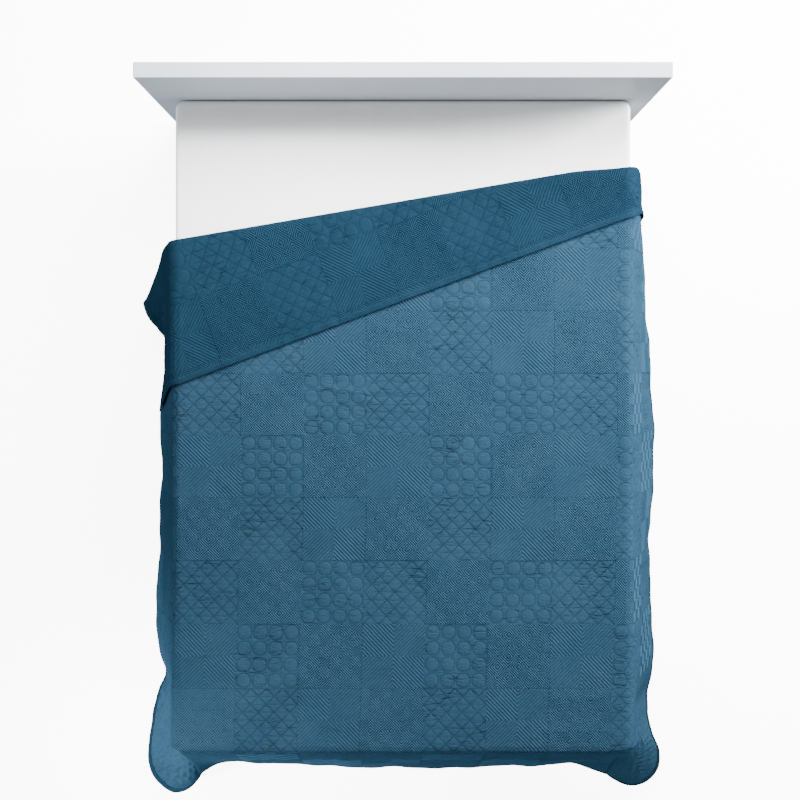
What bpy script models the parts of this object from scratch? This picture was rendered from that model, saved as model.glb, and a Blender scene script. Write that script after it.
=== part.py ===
"""Embossed bedspread on a plain bed, with its top edge turned back on the slant.

Metres, +Z up.  X runs across the bed and Y along it, head end at +Y.  The
origin is on the floor, under the middle of the mattress.

The bedspread is one quilted sheet.  It is laid out flat first, as a grid of
points with the places a (across) and b (along) that they would have on an
endless flat mattress.  Three steps then put each point where it hangs: the
slanting fold turns the top of the sheet back on itself, the drape carries it
over the mattress edge, and the quilting lifts it inside each pressed line.
"""

import math

import bmesh
import bpy
import numpy as np

# Bed
MATTRESS_WIDTH = 1.40
MATTRESS_LENGTH = 2.00
MATTRESS_DEPTH = 0.22
MATTRESS_TOP = 0.55
MATTRESS_EDGE_RADIUS = 0.025
FIT = 0.0003
HEADBOARD_WIDTH = 1.53
HEADBOARD_THICKNESS = 0.045
HEADBOARD_HEIGHT = 0.85
HEADBOARD_GAP = 0.001
FRAME_INSET = 0.010
RAIL_THICKNESS = 0.030
RAIL_HEIGHT = 0.12
LEDGER_SIZE = 0.030
SLAT_COUNT = 12
SLAT_WIDTH = 0.080
SLAT_THICKNESS = 0.018
SLAT_END_GAP = 0.10
BEAM_WIDTH = 0.045
BEAM_HEIGHT = 0.070
LEG_SIZE = 0.060
FRAME_BEVEL = 0.002

# Bedspread, as cut and hemmed
SHEET_WIDTH = 2.20
SHEET_LENGTH = 2.40
SHEET_THICKNESS = 0.003
SHEET_HEAD = 0.984
HEM_WIDTH = 0.020

# How the sheet lies on the bed
REST_GAP = 0.0004
EDGE_CLEARANCE = 0.002
EDGE_BEND_RADIUS = 0.030
SLOPE_DROP = 0.18
SIDE_SLOPE_OUT = 0.067
FOOT_SLOPE_OUT = 0.077
SLOPE_BEND_SOFTNESS = 0.012
FOLD_AT_CENTRE = 0.681
FOLD_SLOPE = 0.1710
FOLD_RADIUS = 0.007
FLAP_GAP = 0.0095
FLAP_SETTLE = 0.10
FLAP_SKEW = 0.020
FLAP_SKEW_SPREAD = 0.25
FOLD_CUTS = 4
CUT_SNAP = 0.001
NORMAL_STEP = 0.0005

# Quilting: square blocks, each with its own motif
BLOCK = 0.1925
BLOCK_LEFT = -0.686
BLOCK_HEAD = 0.7544
CELLS_PER_BLOCK = 4
LINES_OVER_EDGE = 6
PAD_RISE = 0.0030
PAD_SHOULDER = 0.040
CIRCLE_RISE = 0.0045
CIRCLES_END = 0.94
MOTIFS = (
    ("facets", "circles", "lattice"),
    ("circles", "facets", "cross"),
    ("lattice", "cross", "facets"),
)

# How far the hem hangs out past the mattress edge, along each side of the bed
LEFT_HEM = (
    # along, out
    (-0.98, 0.142),
    (-0.91, 0.122),
    (-0.855, 0.103),
    (-0.80, 0.118),
    (-0.70, 0.129),
    (-0.52, 0.127),
    (-0.35, 0.117),
    (-0.21, 0.115),
    (-0.163, 0.104),
    (-0.11, 0.113),
    (0.05, 0.118),
    (0.16, 0.100),
    (0.24, 0.094),
    (0.32, 0.130),
    (0.42, 0.164),
    (0.50, 0.174),
    (0.60, 0.178),
)
RIGHT_HEM = (
    # along, out
    (-0.98, 0.121),
    (-0.935, 0.122),
    (-0.86, 0.138),
    (-0.58, 0.132),
    (-0.48, 0.135),
    (-0.407, 0.124),
    (-0.34, 0.131),
    (-0.24, 0.141),
    (-0.02, 0.142),
    (0.15, 0.134),
    (0.26, 0.130),
    (0.35, 0.112),
    (0.45, 0.116),
    (0.58, 0.103),
    (0.70, 0.092),
    (0.90, 0.094),
)
FOOT_HEM = (
    # across, out
    (-0.68, 0.176),
    (-0.62, 0.155),
    (-0.56, 0.153),
    (-0.43, 0.160),
    (-0.26, 0.166),
    (-0.10, 0.171),
    (0.20, 0.171),
    (0.40, 0.166),
    (0.51, 0.161),
    (0.565, 0.153),
    (0.61, 0.158),
    (0.68, 0.180),
)

# The spare cloth at each foot corner stands out as an ear.  A row is a point
# of the ear's hem, from the side of the bed round to its foot.
LEFT_EAR = (
    # share of the way, past the side, past the foot, drop
    (0.12, 0.158, 0.080, 0.388),
    (0.25, 0.167, 0.165, 0.420),
    (0.38, 0.148, 0.238, 0.455),
    (0.50, 0.095, 0.286, 0.470),
    (0.62, 0.033, 0.268, 0.455),
    (0.74, -0.012, 0.210, 0.430),
    (0.87, -0.010, 0.168, 0.395),
)
RIGHT_EAR = (
    # share of the way, past the side, past the foot, drop
    (0.12, 0.142, 0.058, 0.385),
    (0.25, 0.171, 0.125, 0.415),
    (0.38, 0.172, 0.200, 0.450),
    (0.50, 0.135, 0.250, 0.468),
    (0.62, 0.076, 0.258, 0.455),
    (0.74, 0.018, 0.228, 0.428),
    (0.87, -0.020, 0.190, 0.396),
)

# Under the weight of the flap the slope of each side is drawn in
LEFT_DRAW = (
    # along, share of the way out
    (-0.15, 0.0),
    (0.08, 0.16),
    (0.32, 0.22),
    (0.50, 0.10),
    (0.60, 0.08),
)
RIGHT_DRAW = (
    # along, share of the way out
    (0.40, 0.0),
    (0.62, 0.12),
    (0.75, 0.24),
    (0.90, 0.26),
)

# Near the slanting fold each hanging edge also swings towards the foot
LEFT_SWING = {"reach": -0.100, "start": 0.10, "from": 0.22, "to": 0.50}
RIGHT_SWING = {"reach": -0.140, "start": 0.0, "from": 0.46, "to": 0.86}

# Colours and finishes: base colour, roughness, metallic
CLOTH_FINISH = ((0.045, 0.135, 0.215, 1.0), 0.85, 0.0)
MATTRESS_FINISH = ((0.82, 0.82, 0.83, 1.0), 0.80, 0.0)
HEADBOARD_FINISH = ((0.62, 0.64, 0.68, 1.0), 0.45, 0.0)
FRAME_FINISH = ((0.60, 0.62, 0.66, 1.0), 0.50, 0.0)
SLAT_FINISH = ((0.62, 0.46, 0.30, 1.0), 0.60, 0.0)

# Worked out from the sizes above
HALF_WIDTH = MATTRESS_WIDTH / 2
HALF_LENGTH = MATTRESS_LENGTH / 2
MATTRESS_BOTTOM = MATTRESS_TOP - MATTRESS_DEPTH
FRAME_SIDE = HALF_WIDTH - FRAME_INSET
FRAME_FOOT = -HALF_LENGTH + FRAME_INSET
FRAME_HEAD = HALF_LENGTH + HEADBOARD_GAP - FIT
FOLD_ANGLE = math.atan(FOLD_SLOPE)
FOLD_LENGTH = math.pi * FOLD_RADIUS
CARRIER_TOP = MATTRESS_BOTTOM - SLAT_THICKNESS - 2 * FIT
SHEET_FOOT = SHEET_HEAD - SHEET_LENGTH
CLOTH_LIFT = REST_GAP + SHEET_THICKNESS / 2
CLOTH_CLEAR = EDGE_CLEARANCE + SHEET_THICKNESS / 2


def slope_over(run):
    """The straight slope in which the stiff sheet leaves a mattress edge.

    Gives its angle below level, its length, how long the bend before it is
    and how far inside the mattress edge that bend starts.
    """
    angle = math.atan2(SLOPE_DROP, run)
    setback = EDGE_BEND_RADIUS * math.tan(angle / 2)
    length = math.hypot(run, SLOPE_DROP) - setback
    return {
        "angle": angle,
        "length": length,
        "bend": EDGE_BEND_RADIUS * angle,
        "start": setback - CLOTH_CLEAR,
    }


SIDE_SLOPE = slope_over(SIDE_SLOPE_OUT)
FOOT_SLOPE = slope_over(FOOT_SLOPE_OUT)
SIDE_START = HALF_WIDTH - SIDE_SLOPE["start"]
FOOT_START = HALF_LENGTH - FOOT_SLOPE["start"]
SIDE_REACH = SHEET_WIDTH / 2 - SIDE_START
FOOT_REACH = -SHEET_FOOT - FOOT_START


def smooth(value):
    """Ease from 0 to 1 with no kink at either end."""
    part = np.clip(value, 0.0, 1.0)
    return part * part * (3.0 - 2.0 * part)


def through(rows, column, at):
    """A smooth curve through one column of a table, read at given places."""
    table = np.array(rows, dtype=float)
    places = table[:, 0]
    values = table[:, column]
    slopes = np.gradient(values, places)
    at = np.clip(at, places[0], places[-1])
    row = np.clip(np.searchsorted(places, at) - 1, 0, len(places) - 2)
    gap = places[row + 1] - places[row]
    part = (at - places[row]) / gap
    ease = part * part * (3.0 - 2.0 * part)
    leave = part * (1.0 - part) ** 2
    arrive = -part * part * (1.0 - part)
    return (
        values[row] * (1.0 - ease)
        + values[row + 1] * ease
        + gap * (slopes[row] * leave + slopes[row + 1] * arrive)
    )


def turn_back(a, b):
    """Fold the head end over on the slant.

    Gives the places that the folded sheet covers and its height over them.
    """
    cosine = math.cos(FOLD_ANGLE)
    sine = math.sin(FOLD_ANGLE)
    along = a * cosine + (b - FOLD_AT_CENTRE) * sine
    past = (b - FOLD_AT_CENTRE) * cosine - a * sine
    turned = np.clip(past, 0.0, FOLD_LENGTH) / FOLD_RADIUS
    flap = np.clip(past - FOLD_LENGTH, 0.0, None)
    across = np.minimum(past, 0.0) + FOLD_RADIUS * np.sin(turned) - flap
    lift = FOLD_RADIUS * (1.0 - np.cos(turned))
    lift = lift - (2.0 * FOLD_RADIUS - FLAP_GAP) * smooth(flap / FLAP_SETTLE)
    folded_a = along * cosine - across * sine
    folded_b = FOLD_AT_CENTRE + along * sine + across * cosine
    folded_b = folded_b + FLAP_SKEW * folded_a * smooth(flap / FLAP_SKEW_SPREAD)
    return folded_a, folded_b, lift


def hang(past, slope, reach, hem_out):
    """One cross-section over an edge: how far out and down a point hangs."""
    turned = np.clip(past, 0.0, slope["bend"]) / EDGE_BEND_RADIUS
    straight = np.clip(past - slope["bend"], 0.0, None)
    below = SLOPE_BEND_SOFTNESS * np.logaddexp(
        0.0, (straight - slope["length"]) / SLOPE_BEND_SOFTNESS
    )
    below_at_hem = reach - slope["bend"] - slope["length"]
    out_at_bend = (
        EDGE_BEND_RADIUS * math.sin(slope["angle"])
        + slope["length"] * math.cos(slope["angle"])
    )
    lean = (hem_out + slope["start"] - out_at_bend) / below_at_hem
    steep = np.sqrt(1.0 - lean * lean)
    on_slope = straight - below
    out = EDGE_BEND_RADIUS * np.sin(turned) + on_slope * math.cos(slope["angle"]) + below * lean
    drop = (
        EDGE_BEND_RADIUS * (1.0 - np.cos(turned))
        + on_slope * math.sin(slope["angle"])
        + below * steep
    )
    return out, drop


def side_hang(past, along, right):
    """The cross-section over the left or right edge of the mattress."""
    hem_out = np.where(right, through(RIGHT_HEM, 1, along), through(LEFT_HEM, 1, along))
    draw = np.where(right, through(RIGHT_DRAW, 1, along), through(LEFT_DRAW, 1, along))
    out, drop = hang(past, SIDE_SLOPE, SIDE_REACH, hem_out)
    drawn_out = out * (1.0 - draw * smooth(past / SLOPE_DROP))
    return drawn_out, np.sqrt(drop * drop + out * out - drawn_out * drawn_out)


def foot_hang(past, across):
    """The cross-section over the foot edge of the mattress."""
    return hang(past, FOOT_SLOPE, FOOT_REACH, through(FOOT_HEM, 1, across))


def ear_ring(rows, right):
    """The hem of an ear, closed on to the side hem and the foot hem."""
    corner = 1.0 if right else -1.0
    side_out, side_drop = side_hang(np.array([SIDE_REACH]), np.array([-FOOT_START]), right)
    foot_out, foot_drop = foot_hang(np.array([FOOT_REACH]), np.array([corner * SIDE_START]))
    ring = [(0.0, side_out[0], 0.0, side_drop[0])]
    for share, past_side, past_foot, drop in rows:
        ring.append((share, past_side + SIDE_SLOPE["start"], past_foot + FOOT_SLOPE["start"], drop))
    ring.append((1.0, 0.0, foot_out[0], foot_drop[0]))
    return ring


def ear(past_side, past_foot, right):
    """The spare cloth of one corner, spread from the mattress corner."""
    ring = ear_ring(RIGHT_EAR if right else LEFT_EAR, right)
    side_part = past_side / SIDE_REACH
    foot_part = past_foot / FOOT_REACH
    depth = np.maximum(np.maximum(side_part, foot_part), 1e-9)
    share = np.where(
        side_part >= foot_part,
        foot_part / (2.0 * depth),
        1.0 - side_part / (2.0 * depth),
    )
    corner = 1.0 if right else -1.0
    side_out, side_drop = side_hang(depth * SIDE_REACH, -FOOT_START, right)
    foot_out, foot_drop = foot_hang(depth * FOOT_REACH, corner * SIDE_START)
    to_foot = smooth(share)
    to_side = 1.0 - to_foot
    out = depth * through(ring, 1, share) + to_side * (side_out - depth * ring[0][1])
    away = depth * through(ring, 2, share) + to_foot * (foot_out - depth * ring[-1][2])
    drop = (
        depth * through(ring, 3, share)
        + to_side * (side_drop - depth * ring[0][3])
        + to_foot * (foot_drop - depth * ring[-1][3])
    )
    return out, away, drop


def swing(past, along, sway):
    """How far the hanging edge swings towards the foot near the fold."""
    depth = smooth((past - sway["start"]) / (SIDE_REACH - sway["start"]))
    near = smooth((along - sway["from"]) / (sway["to"] - sway["from"]))
    return sway["reach"] * depth * near


def drape(a, b):
    """Carry flat places over the bed, to where the sheet's middle plane hangs."""
    right = a > 0.0
    corner = np.where(right, 1.0, -1.0)
    past_side = np.abs(a) - SIDE_START
    past_foot = -b - FOOT_START
    over_side = np.clip(past_side, 0.0, None)
    over_foot = np.clip(past_foot, 0.0, None)
    side_out, side_drop = side_hang(over_side, b, right)
    foot_out, foot_drop = foot_hang(over_foot, a)
    sway = np.where(right, swing(over_side, b, RIGHT_SWING), swing(over_side, b, LEFT_SWING))
    x = np.where(past_side > 0.0, corner * (SIDE_START + side_out), a)
    y = np.where(past_foot > 0.0, -FOOT_START - foot_out, b + sway)
    drop = np.where(past_side > 0.0, side_drop, 0.0) + np.where(past_foot > 0.0, foot_drop, 0.0)
    in_ear = (past_side > 0.0) & (past_foot > 0.0)
    for is_right in (False, True):
        here = in_ear & (right == is_right)
        if not here.any():
            continue
        out, away, ear_drop = ear(past_side[here], past_foot[here], is_right)
        x[here] = (1.0 if is_right else -1.0) * (SIDE_START + out)
        y[here] = -FOOT_START - away
        drop[here] = ear_drop
    return np.stack((x, y, MATTRESS_TOP + CLOTH_LIFT - drop), axis=1)


def drape_normal(a, b):
    """The outward direction of the draped sheet at flat places."""
    across = drape(a + NORMAL_STEP, b) - drape(a - NORMAL_STEP, b)
    along = drape(a, b + NORMAL_STEP) - drape(a, b - NORMAL_STEP)
    normal = np.cross(across, along)
    return normal / np.linalg.norm(normal, axis=1, keepdims=True)


def motif(a, b):
    """The name of the quilted motif of the block at one flat place."""
    column = math.floor((a - BLOCK_LEFT) / BLOCK)
    row = math.floor((BLOCK_HEAD - b) / BLOCK)
    return MOTIFS[row % 3][(column - 1) % 3]


def pad_height(a, b):
    """The rise of the padding: low on the pressed lines between blocks."""
    in_column = np.mod(a - BLOCK_LEFT, BLOCK)
    in_row = np.mod(BLOCK_HEAD - b, BLOCK)
    from_line = np.minimum(
        np.minimum(in_column, BLOCK - in_column),
        np.minimum(in_row, BLOCK - in_row),
    )
    from_hem = np.minimum(SHEET_WIDTH / 2 - np.abs(a), np.minimum(SHEET_HEAD - b, b - SHEET_FOOT))
    return PAD_RISE * smooth(np.minimum(from_line, from_hem - HEM_WIDTH) / PAD_SHOULDER)


def hang_lines(start, slope, end):
    """Grid lines over an edge: close together in the bend, then even."""
    lines = [start, start + slope["bend"] / 2, start + slope["bend"]]
    first = lines[-1]
    last = end - HEM_WIDTH
    for index in range(1, LINES_OVER_EDGE + 1):
        lines.append(first + (last - first) * index / LINES_OVER_EDGE)
    lines.append(end)
    return lines


def grid_lines():
    """The flat places of the grid's lines, across and along."""
    cell = BLOCK / CELLS_PER_BLOCK
    edge = hang_lines(SIDE_START, SIDE_SLOPE, SHEET_WIDTH / 2)
    across = [-place for place in reversed(edge)]
    place = BLOCK_LEFT + cell
    while place < SIDE_START - cell / 4:
        across.append(place)
        place += cell
    across.extend(edge)
    edge = hang_lines(FOOT_START, FOOT_SLOPE, -SHEET_FOOT)
    along = [-place for place in reversed(edge)]
    place = BLOCK_HEAD - cell * math.floor((BLOCK_HEAD + FOOT_START) / cell)
    while place < SHEET_HEAD - HEM_WIDTH - cell / 4:
        if place > -FOOT_START + cell / 4:
            along.append(place)
        place += cell
    along.append(SHEET_HEAD - HEM_WIDTH)
    along.append(SHEET_HEAD)
    return across, along


def flat_sheet():
    """The sheet laid out flat, with the lines that its fold bends on."""
    across, along = grid_lines()
    mesh = bmesh.new()
    is_circle = mesh.verts.layers.int.new("circle")
    rows = [[mesh.verts.new((a, b, 0.0)) for a in across] for b in along]
    for low, high in zip(rows, rows[1:]):
        for index in range(len(across) - 1):
            mesh.faces.new((low[index], low[index + 1], high[index + 1], high[index]))
    circles = []
    for face in mesh.faces:
        middle = face.calc_center_median()
        near_fold = abs(middle.y - FOLD_AT_CENTRE - FOLD_SLOPE * middle.x) < BLOCK / 2
        flat_part = abs(middle.x) < SIDE_START - BLOCK / 8 and -FOOT_START < middle.y < CIRCLES_END
        if flat_part and not near_fold and motif(middle.x, middle.y) == "circles":
            circles.append(face)
    padded = bmesh.ops.poke(mesh, faces=circles)["verts"]
    for vertex in padded:
        vertex[is_circle] = 1
    normal = (-math.sin(FOLD_ANGLE), math.cos(FOLD_ANGLE), 0.0)
    for cut in range(FOLD_CUTS + 1):
        past = FOLD_LENGTH * cut / FOLD_CUTS
        place = (past * normal[0], FOLD_AT_CENTRE + past * normal[1], 0.0)
        cut_flat(mesh, mesh.faces[:], place, normal)
    cut_flap(mesh)
    return mesh, is_circle


def cut_flat(mesh, faces, place, normal):
    """Add one straight line of points across some faces of the flat sheet."""
    edges = {edge for face in faces for edge in face.edges}
    points = {point for face in faces for point in face.verts}
    bmesh.ops.bisect_plane(
        mesh,
        geom=list(points) + list(edges) + list(faces),
        dist=CUT_SNAP,
        plane_co=place,
        plane_no=normal,
    )


def cut_flap(mesh):
    """Add the lines on which the turned-back flap bends over the bed's edges."""
    normal = (math.cos(2 * FOLD_ANGLE), math.sin(2 * FOLD_ANGLE), 0.0)
    for corner in (-1.0, 1.0):
        for share in (0.0, 0.5, 1.0):
            edge = corner * (SIDE_START + share * SIDE_SLOPE["bend"])
            offset = edge + FOLD_LENGTH * math.sin(FOLD_ANGLE)
            place = (offset * normal[0], FOLD_AT_CENTRE + offset * normal[1], 0.0)
            flap = []
            for face in mesh.faces:
                middle = face.calc_center_median()
                past = (middle.y - FOLD_AT_CENTRE) * math.cos(FOLD_ANGLE) - middle.x * math.sin(FOLD_ANGLE)
                if past > FOLD_LENGTH:
                    flap.append(face)
            cut_flat(mesh, flap, place, normal)


def place_sheet(mesh, is_circle):
    """Fold, drape and quilt the flat sheet."""
    a = np.array([vertex.co.x for vertex in mesh.verts])
    b = np.array([vertex.co.y for vertex in mesh.verts])
    circle = np.array([vertex[is_circle] for vertex in mesh.verts], dtype=float)
    folded_a, folded_b, lift = turn_back(a, b)
    rise = lift + pad_height(a, b) * (1.0 - circle) + CIRCLE_RISE * circle
    points = drape(folded_a, folded_b) + drape_normal(folded_a, folded_b) * rise[:, None]
    for vertex, point in zip(mesh.verts, points):
        vertex.co = point


def make_material(name, finish):
    """A Principled material from one row of the finishes."""
    colour, roughness, metallic = finish
    material = bpy.data.materials.new(name)
    material.use_nodes = True
    shader = material.node_tree.nodes["Principled BSDF"]
    shader.inputs["Base Color"].default_value = colour
    shader.inputs["Roughness"].default_value = roughness
    shader.inputs["Metallic"].default_value = metallic
    return material


def make_bedspread(collection):
    """The quilted sheet, folded back at the head and draped over the bed."""
    mesh, is_circle = flat_sheet()
    place_sheet(mesh, is_circle)
    data = bpy.data.meshes.new("bedspread")
    mesh.to_mesh(data)
    mesh.free()
    sheet = bpy.data.objects.new("bedspread", data)
    collection.objects.link(sheet)
    solid = sheet.modifiers.new("cloth thickness", "SOLIDIFY")
    solid.thickness = SHEET_THICKNESS
    solid.offset = 0.0
    data.materials.append(make_material("bedspread cloth", CLOTH_FINISH))
    data.shade_smooth()
    return sheet


def make_block(collection, name, low, high, finish, bevel=FRAME_BEVEL, segments=1):
    """A rectangular piece between two corners, with its edges eased."""
    bpy.ops.mesh.primitive_cube_add(size=1.0)
    block = bpy.context.active_object
    block.name = name
    block.data.name = name
    block.location = [(one + two) / 2 for one, two in zip(low, high)]
    block.scale = [two - one for one, two in zip(low, high)]
    for owner in list(block.users_collection):
        owner.objects.unlink(block)
    collection.objects.link(block)
    bpy.context.view_layer.update()
    bpy.ops.object.select_all(action="DESELECT")
    block.select_set(True)
    bpy.context.view_layer.objects.active = block
    bpy.ops.object.transform_apply(location=False, rotation=False, scale=True)
    eased = block.modifiers.new("eased edges", "BEVEL")
    eased.width = bevel
    eased.segments = segments
    eased.limit_method = "ANGLE"
    block.data.materials.append(make_material(name + " finish", finish))
    return block


def make_mattress(collection):
    """The mattress, with soft rounded edges."""
    return make_block(
        collection,
        "mattress",
        (-HALF_WIDTH, -HALF_LENGTH, MATTRESS_BOTTOM),
        (HALF_WIDTH, HALF_LENGTH, MATTRESS_TOP),
        MATTRESS_FINISH,
        bevel=MATTRESS_EDGE_RADIUS,
        segments=4,
    )


def make_headboard(collection):
    """The upright board at the head, standing on the floor."""
    front = HALF_LENGTH + HEADBOARD_GAP
    return make_block(
        collection,
        "headboard",
        (-HEADBOARD_WIDTH / 2, front, 0.0),
        (HEADBOARD_WIDTH / 2, front + HEADBOARD_THICKNESS, HEADBOARD_HEIGHT),
        HEADBOARD_FINISH,
    )


def make_rails(collection):
    """Two side rails and the foot rail, under the edges of the mattress."""
    inner = FRAME_SIDE - RAIL_THICKNESS
    foot_inside = FRAME_FOOT + RAIL_THICKNESS
    top = MATTRESS_BOTTOM - FIT
    bottom = top - RAIL_HEIGHT
    side_foot = foot_inside + FIT
    rails = (
        ("side_rail_left", (-FRAME_SIDE, side_foot, bottom), (-inner, FRAME_HEAD, top)),
        ("side_rail_right", (inner, side_foot, bottom), (FRAME_SIDE, FRAME_HEAD, top)),
        ("foot_rail", (-FRAME_SIDE, FRAME_FOOT, bottom), (FRAME_SIDE, foot_inside, top)),
    )
    for name, low, high in rails:
        make_block(collection, name, low, high, FRAME_FINISH)


def make_base(collection):
    """Ledgers, centre beam and slats, between the rails."""
    inner = FRAME_SIDE - RAIL_THICKNESS - FIT
    foot = FRAME_FOOT + RAIL_THICKNESS + FIT
    slat_top = MATTRESS_BOTTOM - FIT
    slat_bottom = slat_top - SLAT_THICKNESS
    ledger_bottom = CARRIER_TOP - LEDGER_SIZE
    ledger_inner = inner - LEDGER_SIZE
    ledger_foot = foot + LEG_SIZE + FIT
    make_block(
        collection,
        "ledger_left",
        (-inner, ledger_foot, ledger_bottom),
        (-ledger_inner, FRAME_HEAD, CARRIER_TOP),
        SLAT_FINISH,
    )
    make_block(
        collection,
        "ledger_right",
        (ledger_inner, ledger_foot, ledger_bottom),
        (inner, FRAME_HEAD, CARRIER_TOP),
        SLAT_FINISH,
    )
    make_block(
        collection,
        "centre_beam",
        (-BEAM_WIDTH / 2, foot, CARRIER_TOP - BEAM_HEIGHT),
        (BEAM_WIDTH / 2, FRAME_HEAD, CARRIER_TOP),
        SLAT_FINISH,
    )
    first = -HALF_LENGTH + SLAT_END_GAP
    pitch = (MATTRESS_LENGTH - 2 * SLAT_END_GAP) / (SLAT_COUNT - 1)
    for index in range(SLAT_COUNT):
        middle = first + pitch * index
        make_block(
            collection,
            f"slat_{index + 1:02d}",
            (-inner + FIT, middle - SLAT_WIDTH / 2, slat_bottom),
            (inner - FIT, middle + SLAT_WIDTH / 2, slat_top),
            SLAT_FINISH,
        )


def make_legs(collection):
    """Two legs in the foot corners and one under the middle of the beam."""
    outer = FRAME_SIDE - RAIL_THICKNESS - FIT
    inner = outer - LEG_SIZE
    foot = FRAME_FOOT + RAIL_THICKNESS + FIT
    head = foot + LEG_SIZE
    half = LEG_SIZE / 2
    beam_bottom = CARRIER_TOP - BEAM_HEIGHT
    make_block(collection, "leg_foot_left", (-outer, foot, 0.0), (-inner, head, CARRIER_TOP), FRAME_FINISH)
    make_block(collection, "leg_foot_right", (inner, foot, 0.0), (outer, head, CARRIER_TOP), FRAME_FINISH)
    make_block(collection, "leg_centre", (-half, -half, 0.0), (half, half, beam_bottom - FIT), FRAME_FINISH)


def main():
    for old in list(bpy.data.objects):
        bpy.data.objects.remove(old, do_unlink=True)
    collection = bpy.data.collections.new("embossed bedspread")
    bpy.context.scene.collection.children.link(collection)
    make_mattress(collection)
    make_headboard(collection)
    make_rails(collection)
    make_base(collection)
    make_legs(collection)
    make_bedspread(collection)


main()
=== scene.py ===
"""Looks of the embossed bedspread and the plain bed that it falls over.

Metres, +Z up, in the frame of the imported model.  The bedspread is laid out
flat first.  Its blocks are cut into faces along their pressed lines, and each
point then gets the place where the cloth hangs: the slanting fold turns the
top of the sheet back, the drape carries it over the mattress, and the pressed
pattern lifts the face and the backing off the sheet's middle plane.
"""

import math

import bpy
import numpy as np
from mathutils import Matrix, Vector, geometry


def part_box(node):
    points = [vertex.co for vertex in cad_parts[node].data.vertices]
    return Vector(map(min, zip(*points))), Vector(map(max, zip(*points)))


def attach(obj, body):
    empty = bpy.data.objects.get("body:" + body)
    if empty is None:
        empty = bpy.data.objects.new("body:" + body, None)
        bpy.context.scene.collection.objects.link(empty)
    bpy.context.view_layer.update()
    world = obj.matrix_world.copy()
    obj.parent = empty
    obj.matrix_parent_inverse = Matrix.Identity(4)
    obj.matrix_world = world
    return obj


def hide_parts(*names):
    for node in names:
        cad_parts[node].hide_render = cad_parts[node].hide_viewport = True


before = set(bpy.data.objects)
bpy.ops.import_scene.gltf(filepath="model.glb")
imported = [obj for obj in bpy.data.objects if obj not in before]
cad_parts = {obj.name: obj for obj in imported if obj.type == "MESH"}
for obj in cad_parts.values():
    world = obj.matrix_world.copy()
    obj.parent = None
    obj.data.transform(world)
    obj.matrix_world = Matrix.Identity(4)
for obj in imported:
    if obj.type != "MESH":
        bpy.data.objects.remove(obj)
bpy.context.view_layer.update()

# Bed
MATTRESS_WIDTH = 1.40
MATTRESS_LENGTH = 2.00
MATTRESS_TOP = 0.55

# Bedspread, as cut and hemmed
SHEET_WIDTH = 2.20
SHEET_LENGTH = 2.40
SHEET_THICKNESS = 0.003
SHEET_HEAD = 0.984
HEM_WIDTH = 0.020

# How the sheet lies on the bed
REST_GAP = 0.0004
EDGE_CLEARANCE = 0.002
EDGE_BEND_RADIUS = 0.030
SLOPE_DROP = 0.18
SIDE_SLOPE_OUT = 0.067
FOOT_SLOPE_OUT = 0.077
SLOPE_BEND_SOFTNESS = 0.012
FOLD_AT_CENTRE = 0.681
FOLD_SLOPE = 0.1710
FOLD_RADIUS = 0.007
FOLD_SAG = 0.014
FOLD_SAG_START = 0.50
FOLD_SAG_RUN = 0.20
FOLD_SAG_REACH = 0.20
FLAP_GAP = 0.0095
FLAP_SETTLE = 0.10
FLAP_SKEW = 0.020
FLAP_SKEW_SPREAD = 0.25
NORMAL_STEP = 0.0005

# Pressed pattern: square blocks, each with its own motif
BLOCK = 0.1925
BLOCK_LEFT = -0.686
BLOCK_HEAD = 0.7544
MOTIFS = (
    ("facets", "circles", "lattice"),
    ("circles", "facets", "cross"),
    ("lattice", "cross", "facets"),
)
# The pressed blocks stray a little across and along the sheet towards its foot
PATTERN_DRIFT = (
    # along, shift across, shift along
    (-1.42, -0.026, -0.022), (-0.95, -0.025, -0.022), (-0.74, -0.020, -0.019),
    (-0.55, -0.014, -0.014), (-0.36, -0.008, -0.012), (-0.18, -0.004, -0.012),
    (0.01, -0.004, -0.014), (0.20, -0.005, -0.016), (0.60, -0.003, -0.017),
)
FLAP_DRIFT = 0.004
FLAP_DRIFT_RUN = 0.10
BORDER_CELLS = 24
BORDER_RIM = 0.0016
BORDER_RISE = 0.0004
FACET_HALVES = 6
FACET_HALF = BLOCK / FACET_HALVES
FACET_RINGS = 4
FACET_RISE = 0.0014
CROSS_FOLDS = 16
CROSS_PITCH = BLOCK / CROSS_FOLDS
CROSS_RISE = 0.0013
LATTICE_HALVES = 8
LATTICE_PITCH = 2 * BLOCK / LATTICE_HALVES
LATTICE_GROOVE = 0.0016
LATTICE_SHOULDER = 0.0052
LATTICE_RISE = 0.0012
LATTICE_PUFF = LATTICE_PITCH / 5
CIRCLES_ACROSS = 4
CIRCLE_CELL = BLOCK / CIRCLES_ACROSS
CIRCLE_RADIUS = 0.0210
CIRCLE_GROOVE = 0.0017
CIRCLE_SIDES = 16
CIRCLE_MIDDLE_SIDES = 8
CIRCLE_SQUARENESS = 2.35
CIRCLE_RISE = 0.0010
CIRCLE_PUFF = CIRCLE_RADIUS * 0.36
CIRCLE_MIDDLE = CIRCLE_RADIUS * 0.60
BETWEEN_CIRCLES_RISE = 0.0009
BETWEEN_CIRCLES_RUN = 2.5 * CIRCLE_GROOVE
HEM_OVERLAP = 0.002
HEM_FADE = 0.010
FINE_CELLS = 22
PLAIN_CELLS = 4

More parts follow.
